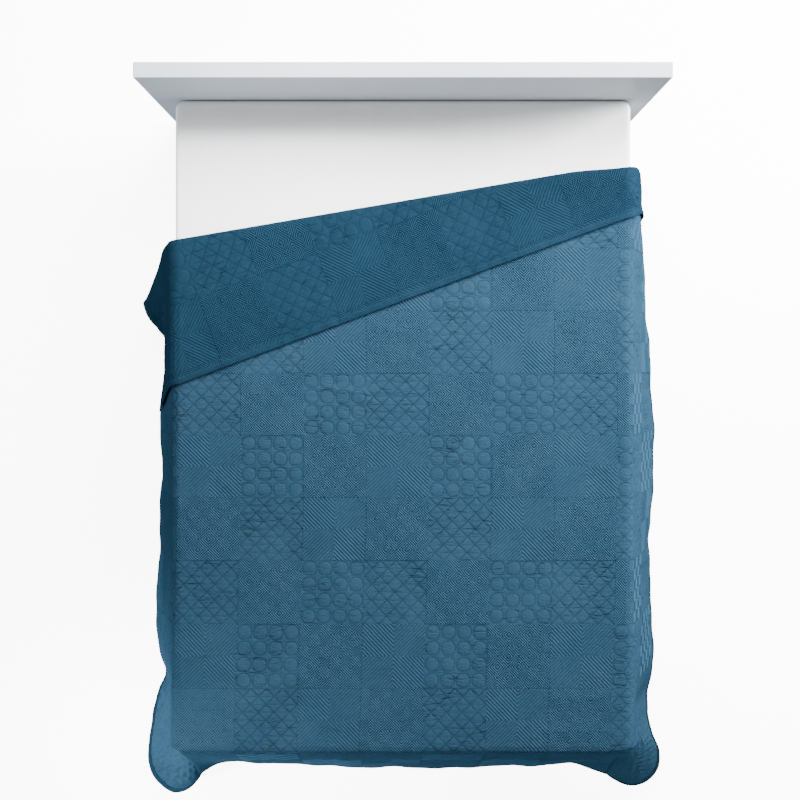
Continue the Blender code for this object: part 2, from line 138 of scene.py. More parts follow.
# How far the hem hangs out past the mattress edge, along each side of the bed
LEFT_HEM = (
    # along, out
    (-0.98, 0.142), (-0.91, 0.122), (-0.855, 0.103), (-0.80, 0.118), (-0.70, 0.129),
    (-0.52, 0.127), (-0.35, 0.117), (-0.21, 0.115), (-0.163, 0.104), (-0.11, 0.113),
    (0.05, 0.118), (0.16, 0.100), (0.24, 0.094), (0.32, 0.130), (0.42, 0.164),
    (0.50, 0.174), (0.60, 0.178),
)
RIGHT_HEM = (
    # along, out
    (-0.98, 0.121), (-0.935, 0.122), (-0.86, 0.138), (-0.58, 0.132), (-0.48, 0.135),
    (-0.407, 0.124), (-0.34, 0.131), (-0.24, 0.141), (-0.02, 0.142), (0.15, 0.134),
    (0.26, 0.130), (0.35, 0.112), (0.45, 0.116), (0.58, 0.103), (0.70, 0.092),
    (0.90, 0.094),
)
FOOT_HEM = (
    # across, out
    (-0.68, 0.190), (-0.62, 0.161), (-0.56, 0.153), (-0.43, 0.160), (-0.26, 0.166),
    (-0.10, 0.171), (0.20, 0.171), (0.40, 0.166), (0.51, 0.161), (0.565, 0.159),
    (0.61, 0.169), (0.68, 0.192),
)

# The spare cloth at each foot corner stands out as an ear.  A row is a point
# of the ear's hem, from the side of the bed round to its foot.
LEFT_EAR = (
    # share of the way, past the side, past the foot, drop
    (0.12, 0.158, 0.080, 0.388),
    (0.25, 0.167, 0.165, 0.420),
    (0.38, 0.148, 0.238, 0.455),
    (0.50, 0.095, 0.286, 0.470),
    (0.62, 0.033, 0.268, 0.455),
    (0.74, -0.012, 0.210, 0.430),
    (0.87, -0.010, 0.168, 0.395),
)
RIGHT_EAR = (
    # share of the way, past the side, past the foot, drop
    (0.12, 0.142, 0.058, 0.385),
    (0.25, 0.171, 0.125, 0.415),
    (0.38, 0.172, 0.200, 0.450),
    (0.50, 0.135, 0.250, 0.468),
    (0.62, 0.076, 0.258, 0.455),
    (0.74, 0.018, 0.228, 0.428),
    (0.87, -0.020, 0.190, 0.396),
)

# Under the weight of the flap the slope of each side is drawn in
LEFT_DRAW = (
    # along, share of the way out
    (-0.15, 0.0), (0.08, 0.16), (0.32, 0.22), (0.50, 0.10), (0.60, 0.08),
)
RIGHT_DRAW = (
    # along, share of the way out
    (0.40, 0.0), (0.62, 0.12), (0.75, 0.24), (0.90, 0.26),
)

# Near the slanting fold each hanging edge also swings towards the foot
LEFT_SWING = {"reach": -0.100, "start": 0.10, "from": 0.22, "to": 0.50}
RIGHT_SWING = {"reach": -0.140, "start": 0.0, "from": 0.46, "to": 0.86}

# Soft unevenness of the cloth where it lies: a lift, long waves, and creases
LIE_LIFT = 0.0016
LIE_SOFTNESS = 0.0004
LIE_END = 0.12
TOP_WAVES = (
    # height, turns a metre across and along, start
    (0.00050, 1.9, 0.8, 0.10),
    (0.00045, -1.1, 2.3, 0.45),
    (0.00035, 3.6, 1.7, 0.72),
    (0.00030, 2.4, -3.9, 0.20),
    (0.00018, 6.5, 4.1, 0.63),
    (0.00016, -4.8, 7.2, 0.31),
)
CREASE_BOW = 0.04
CREASE_END = 0.30
CREASES = (
    # from across and along, to across and along, height, width
    (-0.31, 0.128, 0.08, 0.112, 0.0032, 0.010),
    (-0.20, 0.060, -0.09, 0.022, -0.0024, 0.010),
    (-0.16, 0.086, 0.02, 0.074, 0.0024, 0.009),
    (-0.30, 0.092, -0.25, 0.090, -0.0022, 0.006),
    (-0.25, 0.055, -0.17, 0.052, -0.0024, 0.007),
    (-0.17, 0.053, -0.09, 0.058, -0.0026, 0.007),
    (-0.26, 0.014, -0.20, 0.010, -0.0020, 0.006),
    (-0.08, 0.095, 0.00, 0.100, -0.0022, 0.007),
    (-0.05, 0.048, 0.07, 0.060, 0.0020, 0.008),
    (0.02, 0.018, 0.11, 0.026, -0.0018, 0.008),
    (0.02, 0.165, 0.14, 0.285, 0.0020, 0.014),
    (0.08, 0.385, 0.28, 0.372, 0.0020, 0.013),
    (-0.22, 0.250, -0.12, 0.322, 0.0016, 0.013),
    (-0.13, 0.318, 0.05, 0.285, 0.0015, 0.014),
    (0.455, -0.02, 0.460, -0.38, 0.0030, 0.045),
    (-0.52, -0.02, -0.53, -0.46, -0.0022, 0.035),
    (-0.66, -0.18, -0.52, -0.26, 0.0018, 0.022),
    (0.12, -0.38, 0.02, -0.55, -0.0020, 0.016),
    (-0.23, -0.20, -0.11, -0.28, -0.0016, 0.022),
    (-0.12, -0.12, 0.00, -0.05, -0.0015, 0.018),
    (0.40, -0.83, 0.67, -0.815, 0.0018, 0.013),
    (0.36, -0.93, 0.64, -0.92, 0.0020, 0.016),
    (0.64, -0.40, 0.655, -0.66, 0.0022, 0.022),
    (-0.70, 0.205, -0.20, 0.352, -0.0026, 0.015),
    (-0.66, 0.160, -0.28, 0.290, 0.0022, 0.018),
    (0.38, 0.560, 0.66, 0.660, -0.0018, 0.030),
    (-0.60, -0.62, -0.34, -0.80, -0.0014, 0.040),
)
LEFT_BELLY = (
    # along, out
    (-0.20, 0.0), (-0.10, 0.008), (0.0, 0.012), (0.14, 0.013), (0.25, 0.008),
    (0.38, 0.008), (0.49, 0.012), (0.65, 0.014), (0.75, 0.010),
)
RIGHT_BELLY = (
    # along, out
    (0.30, 0.0), (0.44, 0.006), (0.56, 0.012), (0.90, 0.013),
)
HANG_WAVES = (
    # height, turns a metre along the hem, lean down the cloth, start
    (0.0022, 3.1, 0.15, 0.15),
    (0.0016, 5.3, -0.20, 0.60),
    (0.0009, 9.7, 0.25, 0.35),
)
HANG_CREASES = (
    # from across and along, to across and along, height, width
    (-0.830, -0.74, -0.885, -1.12, 0.0040, 0.011),
    (-0.858, -0.73, -0.925, -1.10, -0.0035, 0.010),
    (-0.885, -0.72, -0.965, -1.12, 0.0045, 0.011),
    (-0.912, -0.72, -1.000, -1.08, -0.0035, 0.010),
    (-0.940, -0.73, -1.035, -1.08, 0.0040, 0.011),
    (-0.965, -0.75, -1.062, -1.04, -0.0030, 0.010),
    (0.820, -0.80, 0.860, -1.16, 0.0030, 0.010),
    (0.850, -0.78, 0.905, -1.16, -0.0028, 0.009),
    (0.880, -0.77, 0.950, -1.18, 0.0034, 0.010),
    (0.910, -0.77, 0.990, -1.16, -0.0028, 0.009),
    (0.940, -0.78, 1.030, -1.14, 0.0034, 0.010),
    (0.970, -0.80, 1.060, -1.10, -0.0026, 0.009),
    (-0.72, 0.36, -0.86, 0.10, 0.0030, 0.020),
    (-0.76, 0.50, -1.02, 0.30, -0.0030, 0.022),
    (0.74, 0.62, 0.98, 0.36, 0.0030, 0.022),
    (0.74, 0.30, 0.92, -0.02, -0.0026, 0.024),
)
HANG_START = 0.35
HANG_LEAST = 0.35
# Keeps the waves of the foot from repeating those of the sides
FOOT_WAVE_SHIFT = 5.0
EAR_RUN = 0.10
EAR_CALM = 0.85
EAR_HEM_CALM = 0.25
EAR_LUMP_HEIGHT = 0.0015
EAR_LUMPS = (
    # share, turns a metre across and along, start
    (0.9, 19.0, 7.0, 0.20),
    (0.8, -8.0, 26.0, 0.65),
    (0.7, 23.0, -17.0, 0.40),
    (0.6, 37.0, 29.0, 0.05),
    (0.5, 11.0, 41.0, 0.85),
)
FLAP_LUMP_HEIGHT = 0.0007
FLAP_LUMPS = (
    # share, turns a metre across and along, start
    (0.50, 11.0, 5.0, 0.10),
    (0.45, -7.0, 12.5, 0.55),
    (0.35, 19.0, -9.0, 0.30),
    (0.30, 14.0, 21.0, 0.80),
)

# The lobe of each ear is a bell: it drops first, and spreads near its hem
LEFT_BELL = {"spread": 0.80, "fall": 0.44, "from": -0.74}
RIGHT_BELL = {"spread": 0.55, "fall": 0.32, "from": -0.78}
SIDE_BELL_START = 0.15
SIDE_BELL_RUN = 0.15
LOBE_RUN = 0.30

# How the cloth is cut into faces, and how its layers lie about the middle plane
CUT_SNAP = 0.0012
SAME_PLACE = 0.00001
TILE_MILLIMETRES = 1000.0
TILE_JOIN = 0.0001
LEAST_PART = 0.000000001
LEAST_SHARE = 0.000001
FLAP_COVER_POINTS = 41
BEND_CUTS = 3
FOLD_CUTS = 5
HIDDEN_MARGIN = 0.010
HEM_TUCK = 0.006
FACE_REST = 0.0012
BACK_REST = 0.0012
BACK_PUFF_ON_BED = 0.20
BACK_PUFF_SPREAD = 0.05

# Hem and its stitches
HEM_STEP = 0.006
HEM_PROFILE = (
    # in from the edge, off the middle plane
    (0.0204, 0.0006), (0.0200, 0.0022), (0.0191, 0.0027), (0.0180, 0.0027), (0.0174, 0.0018),
    (0.0168, 0.0027), (0.0120, 0.0026), (0.0040, 0.0024), (0.0012, 0.0019), (0.0003, 0.0009),
    (0.0, 0.0),
)
STITCH_INSET = 0.0174
STITCH_PITCH = 0.0042
STITCH_LENGTH = 0.0031
STITCH_WIDTH = 0.0008
STITCH_OFF = 0.0020
STITCH_RISE = 0.0009

# Painted shade of the pressed lines and small wrinkles: grooves and block borders are painted
# darker, the pleats' ridges painted lighter
GROOVE_WIDTH = 0.0034
LEVEL_GROOVE_SHARE = 0.45
BORDER_GROOVE_SHARE = 0.16
DARKEST_LINE = 0.08
SIDE_FADE = 0.05
SIDE_LINE_SHARE = 0.62
WRINKLE_FROM = 0.54
WRINKLE_SHADE = 4.2
FACET_EDGE = 2.2
FACET_SHADE = 0.68
CROSS_SHADE = 0.37
LATTICE_SHADE = 0.34
CIRCLE_SHADE = 0.26
FACET_MEAN = 0.26
CROSS_MEAN = 0.0
LATTICE_MEAN = -0.40
CIRCLE_MEAN = -0.60
LEAST_FACET_RING = 0.74
# A slow noise in patches: a wrinkled patch starts where it passes the first value below, and the
# noise scales the painted shade of the lines from the least value upwards
WRINKLE_PATCH_FROM = 0.35
LINE_SHADE_LEAST = 0.4
LINE_SHADE_SWING = 1.2
PLEATED_WRINKLES = 0.35
# The backing gets this share of the painted shade of the lines and wrinkles
BACK_LINE_SHARE = 0.8
# Whole blocks that are added before a block's place in the patchwork of three is found
COLUMN_SHIFT = 8.0
ROW_SHIFT = 9.0
NEAR_WHOLE = 0.2
# How much each noise of the cloth counts in its colour, and the sum that is darkest
BROAD_MIX = 0.40
MOTTLE_MIX = 0.45
HEATHER_MIX = 1.50
MIX_DARKEST = 0.70

# Noises: turns a metre, or turns each way, then detail, roughness and distortion
CLOTH_BROAD = (7.0, 3.0)
CLOTH_MOTTLE = (60.0, 4.0, 0.6)
CLOTH_HEATHER = ((420.0, 330.0, 1.0), 3.0, 0.75)
# Patches in which the painted line shade is stronger and the wrinkles lie
CLOTH_SHADE_PATCHES = (9.0, 3.0, 0.6)
CLOTH_WRINKLES = ((24.0, 105.0, 1.0), 1.5, 0.5, 0.8)
CLOTH_SMALL_FOLDS = ((110.0, 190.0, 1.0), 5.0, 0.62, 0.6)
WEAVE_TURNS = 1100.0
THREAD_TWIST = 1800.0
TICKING_STREAKS = ((22.0, 1.2, 3.0), 3.0, 0.6)
TICKING_KNIT = (520.0, 380.0, 520.0)
TICKING_SOFT = ((9.0, 3.0, 9.0), 3.0)
BOARD_CLOUD = (5.0, 4.0, 0.6)
BOARD_MARKS = (28.0, 4.0, 0.7)
BOARD_RIPPLE = 240.0
WOOD_GRAIN = ((3.0, 60.0, 60.0), 6.0, 0.65, 0.8)
FLOOR_CLOUD = 0.8

# Bumps: height in metres, strength
LINE_BUMP = (0.0006, 0.5)
SMALL_FOLD_BUMP = (0.0022, 0.75)
WRINKLE_BUMP = (0.042, 0.7)
WEAVE_BUMP = (0.00035, 0.6)
TWIST_BUMP = (0.0002, 0.6)
KNIT_BUMP = (0.0004, 0.35)
SOFT_BUMP = (0.004, 0.35)
RIPPLE_BUMP = (0.0002, 0.25)
GRAIN_BUMP = (0.0006, 0.4)

# Roughness and sheen.  The cloth's is a share of its noise, then the least; the boards' marks
# add this share of theirs
CLOTH_ROUGHNESS = (0.10, 0.80)
BOARD_MARK_ROUGHNESS = 0.18
THREAD_ROUGHNESS = 0.55
TICKING_ROUGHNESS = 0.88
TICKING_SHEEN = 0.15
WOOD_ROUGHNESS = 0.62

# Colours, from darkest to lightest
FACE_LOW = (0.0092, 0.0293, 0.0540, 1.0)
FACE_HIGH = (0.0272, 0.0622, 0.0980, 1.0)
BACK_LOW = (0.0052, 0.0168, 0.0312, 1.0)
BACK_HIGH = (0.0122, 0.0330, 0.0556, 1.0)
THREAD_HIGH = (0.0130, 0.0380, 0.0640, 1.0)
TICKING_LOW = (0.87, 0.875, 0.88, 1.0)
TICKING_HIGH = (0.95, 0.952, 0.955, 1.0)
WOOD_LOW = (0.50, 0.34, 0.19, 1.0)
WOOD_HIGH = (0.72, 0.56, 0.37, 1.0)
BOARDS = {
    # slot: darkest, lightest, roughness
    "grey_board": ((0.365, 0.386, 0.420, 1.0), (0.410, 0.431, 0.465, 1.0), 0.45),
    "frame_board": ((0.56, 0.575, 0.60, 1.0), (0.62, 0.632, 0.655, 1.0), 0.40),
}

# Mattress
MATTRESS_PLAN_RADIUS = 0.028
MATTRESS_EDGE_RADIUS = 0.014
MATTRESS_CORNER_CUTS = 8
MATTRESS_EDGE_CUTS = 6
SEAM_FROM_FACE = 0.030
SEAM_HALF = 0.0035
SEAM_DEPTH = 0.0022
SEAM_SHOULDER = 0.0006
LEAST_PLAN_RADIUS = 0.002
MATTRESS_SHARP_ANGLE = 0.9

# Stage, lights and camera
CAMERA_PLACE = (0.003, 0.2018, MATTRESS_TOP + 3.85)
CAMERA_FOCAL_PIXELS = 1254.0
PICTURE_PIXELS = 800.0
SENSOR = 36.0
FLOOR_SIZE = 40.0
FLOOR_GLOW = 8.0
FLOOR_LOW = (0.90, 0.90, 0.90, 1.0)
FLOOR_HIGH = (0.92, 0.92, 0.92, 1.0)
LENS_SHIFT = (-0.005, -0.05)
VIEW_END = 50.0
SPOT_SIZE = 0.25
WORLD_STRENGTH = 0.72
WHITE = (1.0, 1.0, 1.0)
FILL_TINT = (0.60, 0.85, 1.0)
LIGHTS = (
    # name, kind, place, target, width in metres or cone in degrees, watts, colour
    ("key", "AREA", (4.0, 1.9, 2.2), (0.0, 0.2, 0.5), 1.3, 720.0, WHITE),
    ("head", "AREA", (0.9, 2.2, 2.6), (0.0, 0.3, 0.5), 1.6, 370.0, WHITE),
    ("head_left", "SPOT", (-0.3, 1.9, 3.2), (-0.50, 0.84, 0.55), 30.0, 420.0, WHITE),
    ("foot_fill", "AREA", (0.0, -3.6, 0.30), (0.0, -1.0, 0.30), 1.2, 75.0, FILL_TINT),
    ("left_fill", "AREA", (-3.4, -0.2, 0.30), (-0.7, 0.0, 0.30), 1.2, 75.0, FILL_TINT),
    ("side", "SPOT", (3.0, 1.5, 0.80), (0.80, 0.46, 0.44), 44.0, 300.0, WHITE),
    ("ear", "SPOT", (-3.0, -1.9, 1.9), (-0.80, -1.12, 0.25), 26.0, 1400.0, WHITE),
)

# Worked out from the sizes above
HALF_WIDTH = MATTRESS_WIDTH / 2
HALF_LENGTH = MATTRESS_LENGTH / 2
FOLD_ANGLE = math.atan(FOLD_SLOPE)
FOLD_LENGTH = math.pi * FOLD_RADIUS
SHEET_FOOT = SHEET_HEAD - SHEET_LENGTH
CLOTH_LIFT = REST_GAP + SHEET_THICKNESS / 2
CLOTH_CLEAR = EDGE_CLEARANCE + SHEET_THICKNESS / 2


def slope_over(run):
    """The straight slope in which the stiff sheet leaves a mattress edge."""
    angle = math.atan2(SLOPE_DROP, run)
    setback = EDGE_BEND_RADIUS * math.tan(angle / 2)
    length = math.hypot(run, SLOPE_DROP) - setback
    return {
        "angle": angle,
        "length": length,
        "bend": EDGE_BEND_RADIUS * angle,
        "start": setback - CLOTH_CLEAR,
    }


SIDE_SLOPE = slope_over(SIDE_SLOPE_OUT)
FOOT_SLOPE = slope_over(FOOT_SLOPE_OUT)
SIDE_START = HALF_WIDTH - SIDE_SLOPE["start"]
FOOT_START = HALF_LENGTH - FOOT_SLOPE["start"]
SIDE_REACH = SHEET_WIDTH / 2 - SIDE_START
FOOT_REACH = -SHEET_FOOT - FOOT_START


def smooth(value):
    """Ease from 0 to 1 with no kink at either end."""
    part = np.clip(value, 0.0, 1.0)
    return part * part * (3.0 - 2.0 * part)


def through(rows, column, at):
    """A smooth curve through one column of a table, read at given places."""
    table = np.array(rows, dtype=float)
    places = table[:, 0]
    values = table[:, column]
    slopes = np.gradient(values, places)
    at = np.clip(at, places[0], places[-1])
    row = np.clip(np.searchsorted(places, at) - 1, 0, len(places) - 2)
    gap = places[row + 1] - places[row]
    part = (at - places[row]) / gap
    ease = part * part * (3.0 - 2.0 * part)
    leave = part * (1.0 - part) ** 2
    arrive = -part * part * (1.0 - part)
    return (
        values[row] * (1.0 - ease)
        + values[row + 1] * ease
        + gap * (slopes[row] * leave + slopes[row + 1] * arrive)
    )


def side_curve(right, left_rows, right_rows, at):
    """The curve of the left or right side of the bed, read at given places."""
    return np.where(right, through(right_rows, 1, at), through(left_rows, 1, at))


def ripples(rows, a, b):
    """Waves laid over one another: height, turns a metre each way, and start."""
    waves = np.zeros_like(a)
    for height, turns_a, turns_b, start in rows:
        waves = waves + height * np.sin(2.0 * math.pi * (turns_a * a + turns_b * b + start))
    return waves


def past_fold(a, b):
    """How far a flat place lies past the slanting fold line."""
    return (b - FOLD_AT_CENTRE) * math.cos(FOLD_ANGLE) - a * math.sin(FOLD_ANGLE)


def turn_back(a, b):
    """Fold the head end over on the slant.

    Gives the places that the folded sheet covers, its height over them, and
    the angle through which the sheet has turned.
    """
    cosine = math.cos(FOLD_ANGLE)
    sine = math.sin(FOLD_ANGLE)
    along = a * cosine + (b - FOLD_AT_CENTRE) * sine
    past = past_fold(a, b)
    turned = np.clip(past, 0.0, FOLD_LENGTH) / FOLD_RADIUS
    flap = np.clip(past - FOLD_LENGTH, 0.0, None)
    across = np.minimum(past, 0.0) + FOLD_RADIUS * np.sin(turned) - flap
    lift = FOLD_RADIUS * (1.0 - np.cos(turned))
    lift = lift - (2.0 * FOLD_RADIUS - FLAP_GAP) * smooth(flap / FLAP_SETTLE)
    folded_a = along * cosine - across * sine
    folded_b = FOLD_AT_CENTRE + along * sine + across * cosine
    folded_b = folded_b + FLAP_SKEW * folded_a * smooth(flap / FLAP_SKEW_SPREAD)
    near_fold = 1.0 - smooth(np.abs(past) / FOLD_SAG_REACH)
    sag = FOLD_SAG * smooth((folded_a - FOLD_SAG_START) / FOLD_SAG_RUN)
    folded_b = folded_b - sag * near_fold
    return folded_a, folded_b, lift, turned


def hang(past, slope, reach, hem_out):
    """One cross-section over an edge: how far out and down a point hangs."""
    turned = np.clip(past, 0.0, slope["bend"]) / EDGE_BEND_RADIUS
    straight = np.clip(past - slope["bend"], 0.0, None)
    below = SLOPE_BEND_SOFTNESS * np.logaddexp(
        0.0, (straight - slope["length"]) / SLOPE_BEND_SOFTNESS
    )
    below_at_hem = reach - slope["bend"] - slope["length"]
    out_at_bend = (
        EDGE_BEND_RADIUS * math.sin(slope["angle"])
        + slope["length"] * math.cos(slope["angle"])
    )
    lean = (hem_out + slope["start"] - out_at_bend) / below_at_hem
    steep = np.sqrt(1.0 - lean * lean)
    on_slope = straight - below
    out = EDGE_BEND_RADIUS * np.sin(turned) + on_slope * math.cos(slope["angle"]) + below * lean
    drop = (
        EDGE_BEND_RADIUS * (1.0 - np.cos(turned))
        + on_slope * math.sin(slope["angle"])
        + below * steep
    )
    return out, drop


def side_hang(past, along, right):
    """The cross-section over the left or right edge of the mattress."""
    hem_out = side_curve(right, LEFT_HEM, RIGHT_HEM, along)
    draw = side_curve(right, LEFT_DRAW, RIGHT_DRAW, along)
    out, drop = hang(past, SIDE_SLOPE, SIDE_REACH, hem_out)
    drawn_out = out * (1.0 - draw * smooth(past / SLOPE_DROP))
    drop = np.sqrt(drop * drop + out * out - drawn_out * drawn_out)
    low = np.clip((past / SIDE_REACH - SIDE_BELL_START) / (1.0 - SIDE_BELL_START), 0.0, 1.0)
    low = low * (1.0 - low)
    for bell, here in ((LEFT_BELL, ~np.asarray(right)), (RIGHT_BELL, np.asarray(right))):
        near = smooth((bell["from"] - along) / SIDE_BELL_RUN) * low * here
        drawn_out = drawn_out - bell["spread"] * near * hem_out
        drop = drop + bell["fall"] * near * SIDE_REACH
    return drawn_out, drop


def foot_hang(past, across):
    """The cross-section over the foot edge of the mattress."""
    return hang(past, FOOT_SLOPE, FOOT_REACH, through(FOOT_HEM, 1, across))


def ear_ring(rows, right):
    """The hem of an ear, closed on to the side hem and the foot hem."""
    corner = 1.0 if right else -1.0
    side_out, side_drop = side_hang(np.array([SIDE_REACH]), np.array([-FOOT_START]), right)
    foot_out, foot_drop = foot_hang(np.array([FOOT_REACH]), np.array([corner * SIDE_START]))
    ring = [(0.0, side_out[0], 0.0, side_drop[0])]
    for share, past_side, past_foot, drop in rows:
        ring.append((share, past_side + SIDE_SLOPE["start"], past_foot + FOOT_SLOPE["start"], drop))
    ring.append((1.0, 0.0, foot_out[0], foot_drop[0]))
    return ring


def ear(past_side, past_foot, right):
    """The spare cloth of one corner, spread from the mattress corner."""
    ring = ear_ring(RIGHT_EAR if right else LEFT_EAR, right)
    side_part = past_side / SIDE_REACH
    foot_part = past_foot / FOOT_REACH
    depth = np.maximum(np.maximum(side_part, foot_part), LEAST_PART)
    share = np.where(
        side_part >= foot_part,
        foot_part / (2.0 * depth),
        1.0 - side_part / (2.0 * depth),
    )
    corner = 1.0 if right else -1.0
    side_out, side_drop = side_hang(depth * SIDE_REACH, -FOOT_START, right)
    foot_out, foot_drop = foot_hang(depth * FOOT_REACH, corner * SIDE_START)
    to_foot = smooth(share)
    to_side = 1.0 - to_foot
    lobe = smooth(np.minimum(share, 1.0 - share) / LOBE_RUN) * depth * (1.0 - depth)
    bell = RIGHT_BELL if right else LEFT_BELL
    spread = depth - bell["spread"] * lobe
    fallen = depth + bell["fall"] * lobe
    out = spread * through(ring, 1, share) + to_side * (side_out - spread * ring[0][1])
    away = spread * through(ring, 2, share) + to_foot * (foot_out - spread * ring[-1][2])
    drop = (
        fallen * through(ring, 3, share)
        + to_side * (side_drop - fallen * ring[0][3])
        + to_foot * (foot_drop - fallen * ring[-1][3])
    )
    return out, away, drop


def swing(past, along, sway):
    """How far the hanging edge swings towards the foot near the fold."""
    depth = smooth((past - sway["start"]) / (SIDE_REACH - sway["start"]))
    near = smooth((along - sway["from"]) / (sway["to"] - sway["from"]))
    return sway["reach"] * depth * near


def drape(a, b):
    """Carry flat places over the bed, to where the sheet's middle plane hangs."""
    right = a > 0.0
    corner = np.where(right, 1.0, -1.0)
    past_side = np.abs(a) - SIDE_START
    past_foot = -b - FOOT_START
    over_side = np.clip(past_side, 0.0, None)
    over_foot = np.clip(past_foot, 0.0, None)
    side_out, side_drop = side_hang(over_side, b, right)
    foot_out, foot_drop = foot_hang(over_foot, a)
    sway = np.where(right, swing(over_side, b, RIGHT_SWING), swing(over_side, b, LEFT_SWING))
    x = np.where(past_side > 0.0, corner * (SIDE_START + side_out), a)
    y = np.where(past_foot > 0.0, -FOOT_START - foot_out, b + sway)
    drop = np.where(past_side > 0.0, side_drop, 0.0) + np.where(past_foot > 0.0, foot_drop, 0.0)
    in_ear = (past_side > 0.0) & (past_foot > 0.0)
    for is_right in (False, True):
        here = in_ear & (right == is_right)
        if not here.any():
            continue
        out, away, ear_drop = ear(past_side[here], past_foot[here], is_right)
        x[here] = (1.0 if is_right else -1.0) * (SIDE_START + out)
        y[here] = -FOOT_START - away
        drop[here] = ear_drop
    return np.stack((x, y, MATTRESS_TOP + CLOTH_LIFT - drop), axis=1)


def settle(a, b):
    """How far the sheet lies off its plain drape, at places that it covers."""
    over_side = np.clip(np.abs(a) - SIDE_START, 0.0, None)
    over_foot = np.clip(-b - FOOT_START, 0.0, None)
    side_down = over_side / SIDE_REACH
    foot_down = over_foot / FOOT_REACH
    down = np.maximum(side_down, foot_down)
    waves = ripples(TOP_WAVES, a, b)
    for row in CREASES:
        waves = waves + crease(a, b, *row)
    on_top = 1.0 - smooth(down / LIE_END)
    top = LIE_SOFTNESS * np.logaddexp(0.0, (LIE_LIFT + waves) / LIE_SOFTNESS)
    along = np.where(side_down >= foot_down, b * np.sign(a), a + FOOT_WAVE_SHIFT)
    in_ear = smooth(over_side / EAR_RUN) * smooth(over_foot / EAR_RUN)
    folds = ripples(HANG_WAVES, along, down) * (1.0 - EAR_CALM * in_ear)
    folds = folds + side_curve(a > 0.0, LEFT_BELLY, RIGHT_BELLY, b)
    for row in HANG_CREASES:
        folds = folds + crease(a, b, *row)
    above_hem = smooth((1.0 - down) / EAR_HEM_CALM)
    folds = folds + EAR_LUMP_HEIGHT * ripples(EAR_LUMPS, a, b) * in_ear * above_hem
    share = HANG_LEAST + (1.0 - HANG_LEAST) * down
    return top * on_top + folds * smooth(down / HANG_START) * share


def crease(a, b, from_a, from_b, to_a, to_b, height, width):
    """One soft ridge, or a trough where the height is negative."""
    run_a = to_a - from_a
    run_b = to_b - from_b
    length = math.hypot(run_a, run_b)
    along = ((a - from_a) * run_a + (b - from_b) * run_b) / (length * length)
    bow = CREASE_BOW * length * np.sin(math.pi * np.clip(along, 0.0, 1.0))
    off = ((a - from_a) * run_b - (b - from_b) * run_a) / length - bow
    ends = smooth(along / CREASE_END) * smooth((1.0 - along) / CREASE_END)
    return height * ends * np.exp(-((off / width) ** 2))


def crumple(a, b):
    """Small lumps that the turned-back flap alone has, always upwards."""
    lumps = 1.0 + ripples(FLAP_LUMPS, a, b)
    return FLAP_LUMP_HEIGHT * np.clip(lumps, 0.0, None)


def unit(vectors):
    """Vectors scaled to length 1."""
    return vectors / np.linalg.norm(vectors, axis=1, keepdims=True)


def drape_normal(a, b):
    """The outward direction of the draped sheet at flat places."""
    across = drape(a + NORMAL_STEP, b) - drape(a - NORMAL_STEP, b)
    along = drape(a, b + NORMAL_STEP) - drape(a, b - NORMAL_STEP)
    return unit(np.cross(across, along))


def place_cloth(a, b, offset):
    """Where a point of the cloth lies, at some offset from the middle plane.

    The offset is positive towards the sheet's face, which is on top of the
    bed and underneath in the turned-back flap.
    """
    folded_a, folded_b, lift, turned = turn_back(a, b)
    step_a = folded_a - NORMAL_STEP * math.sin(FOLD_ANGLE)
    step_b = folded_b + NORMAL_STEP * math.cos(FOLD_ANGLE)
    place = drape(folded_a, folded_b)
    up = drape_normal(folded_a, folded_b)
    to_head = unit(drape(step_a, step_b) - place)
    to_face = np.cos(turned)[:, None] * up - np.sin(turned)[:, None] * to_head
    turned_back = smooth((past_fold(a, b) - FOLD_LENGTH) / FLAP_SETTLE)
    lift = lift + settle(folded_a, folded_b) + crumple(folded_a, folded_b) * turned_back
    return place + up * lift[:, None] + to_face * offset[:, None]


# Pressed pattern


def from_whole(value):
    """Distance of a number from the nearest whole number."""
    return np.abs(value - np.round(value))


def facet_height(x, y):
    """Diamonds, each filled with smaller diamonds inside one another."""
    down = (x + y) / FACET_HALF
    up = (x - y) / FACET_HALF
    down = np.abs(down - 2.0 * np.floor(down / 2.0) - 1.0)
    up = np.abs(up - 2.0 * np.floor(up / 2.0) - 1.0)
    ring = np.maximum(down, up) * FACET_RINGS
    return FACET_RISE * 2.0 * np.where(ring < 0.5, 0.5, from_whole(ring))


def cross_height(x, y):
    """Nested chevrons that open away from the middle of the block."""
    line = (np.abs(y - BLOCK / 2) - np.abs(x - BLOCK / 2)) / CROSS_PITCH
    return CROSS_RISE * 2.0 * from_whole(line)


def lattice_height(x, y):
    """Crossing slanted lines, each diamond halved by a fainter level line."""
    down = from_whole((x + y) / LATTICE_PITCH) * LATTICE_PITCH / math.sqrt(2.0)
    up = from_whole((x - y) / LATTICE_PITCH) * LATTICE_PITCH / math.sqrt(2.0)
    level = from_whole(2.0 * y / LATTICE_PITCH) * LATTICE_PITCH / 2.0
    slanted = puff(np.minimum(down, up), LATTICE_PUFF)
    return LATTICE_RISE * slanted * (0.5 + 0.5 * puff(level, LATTICE_PUFF))


def puff(off, reach):
    """The round shoulder of padding beside a pressed line."""
    part = np.clip(off / reach, 0.0, 1.0)
    return 1.0 - (1.0 - part) ** 2


def circle_measure(x, y):
    """A slightly square radius about the middle of a circle's cell."""
    x = np.abs(np.mod(x, CIRCLE_CELL) - CIRCLE_CELL / 2)
    y = np.abs(np.mod(y, CIRCLE_CELL) - CIRCLE_CELL / 2)
    return (x**CIRCLE_SQUARENESS + y**CIRCLE_SQUARENESS) ** (1.0 / CIRCLE_SQUARENESS)


def circle_height(x, y):
    """Domed circles in rows, with low padding between them."""
    radius = circle_measure(x, y)
    inside = puff(CIRCLE_RADIUS - radius, CIRCLE_PUFF)
    outside = smooth((radius - CIRCLE_RADIUS) / BETWEEN_CIRCLES_RUN)
    between = BETWEEN_CIRCLES_RISE * outside
    return np.where(radius < CIRCLE_RADIUS, CIRCLE_RISE * inside, between)


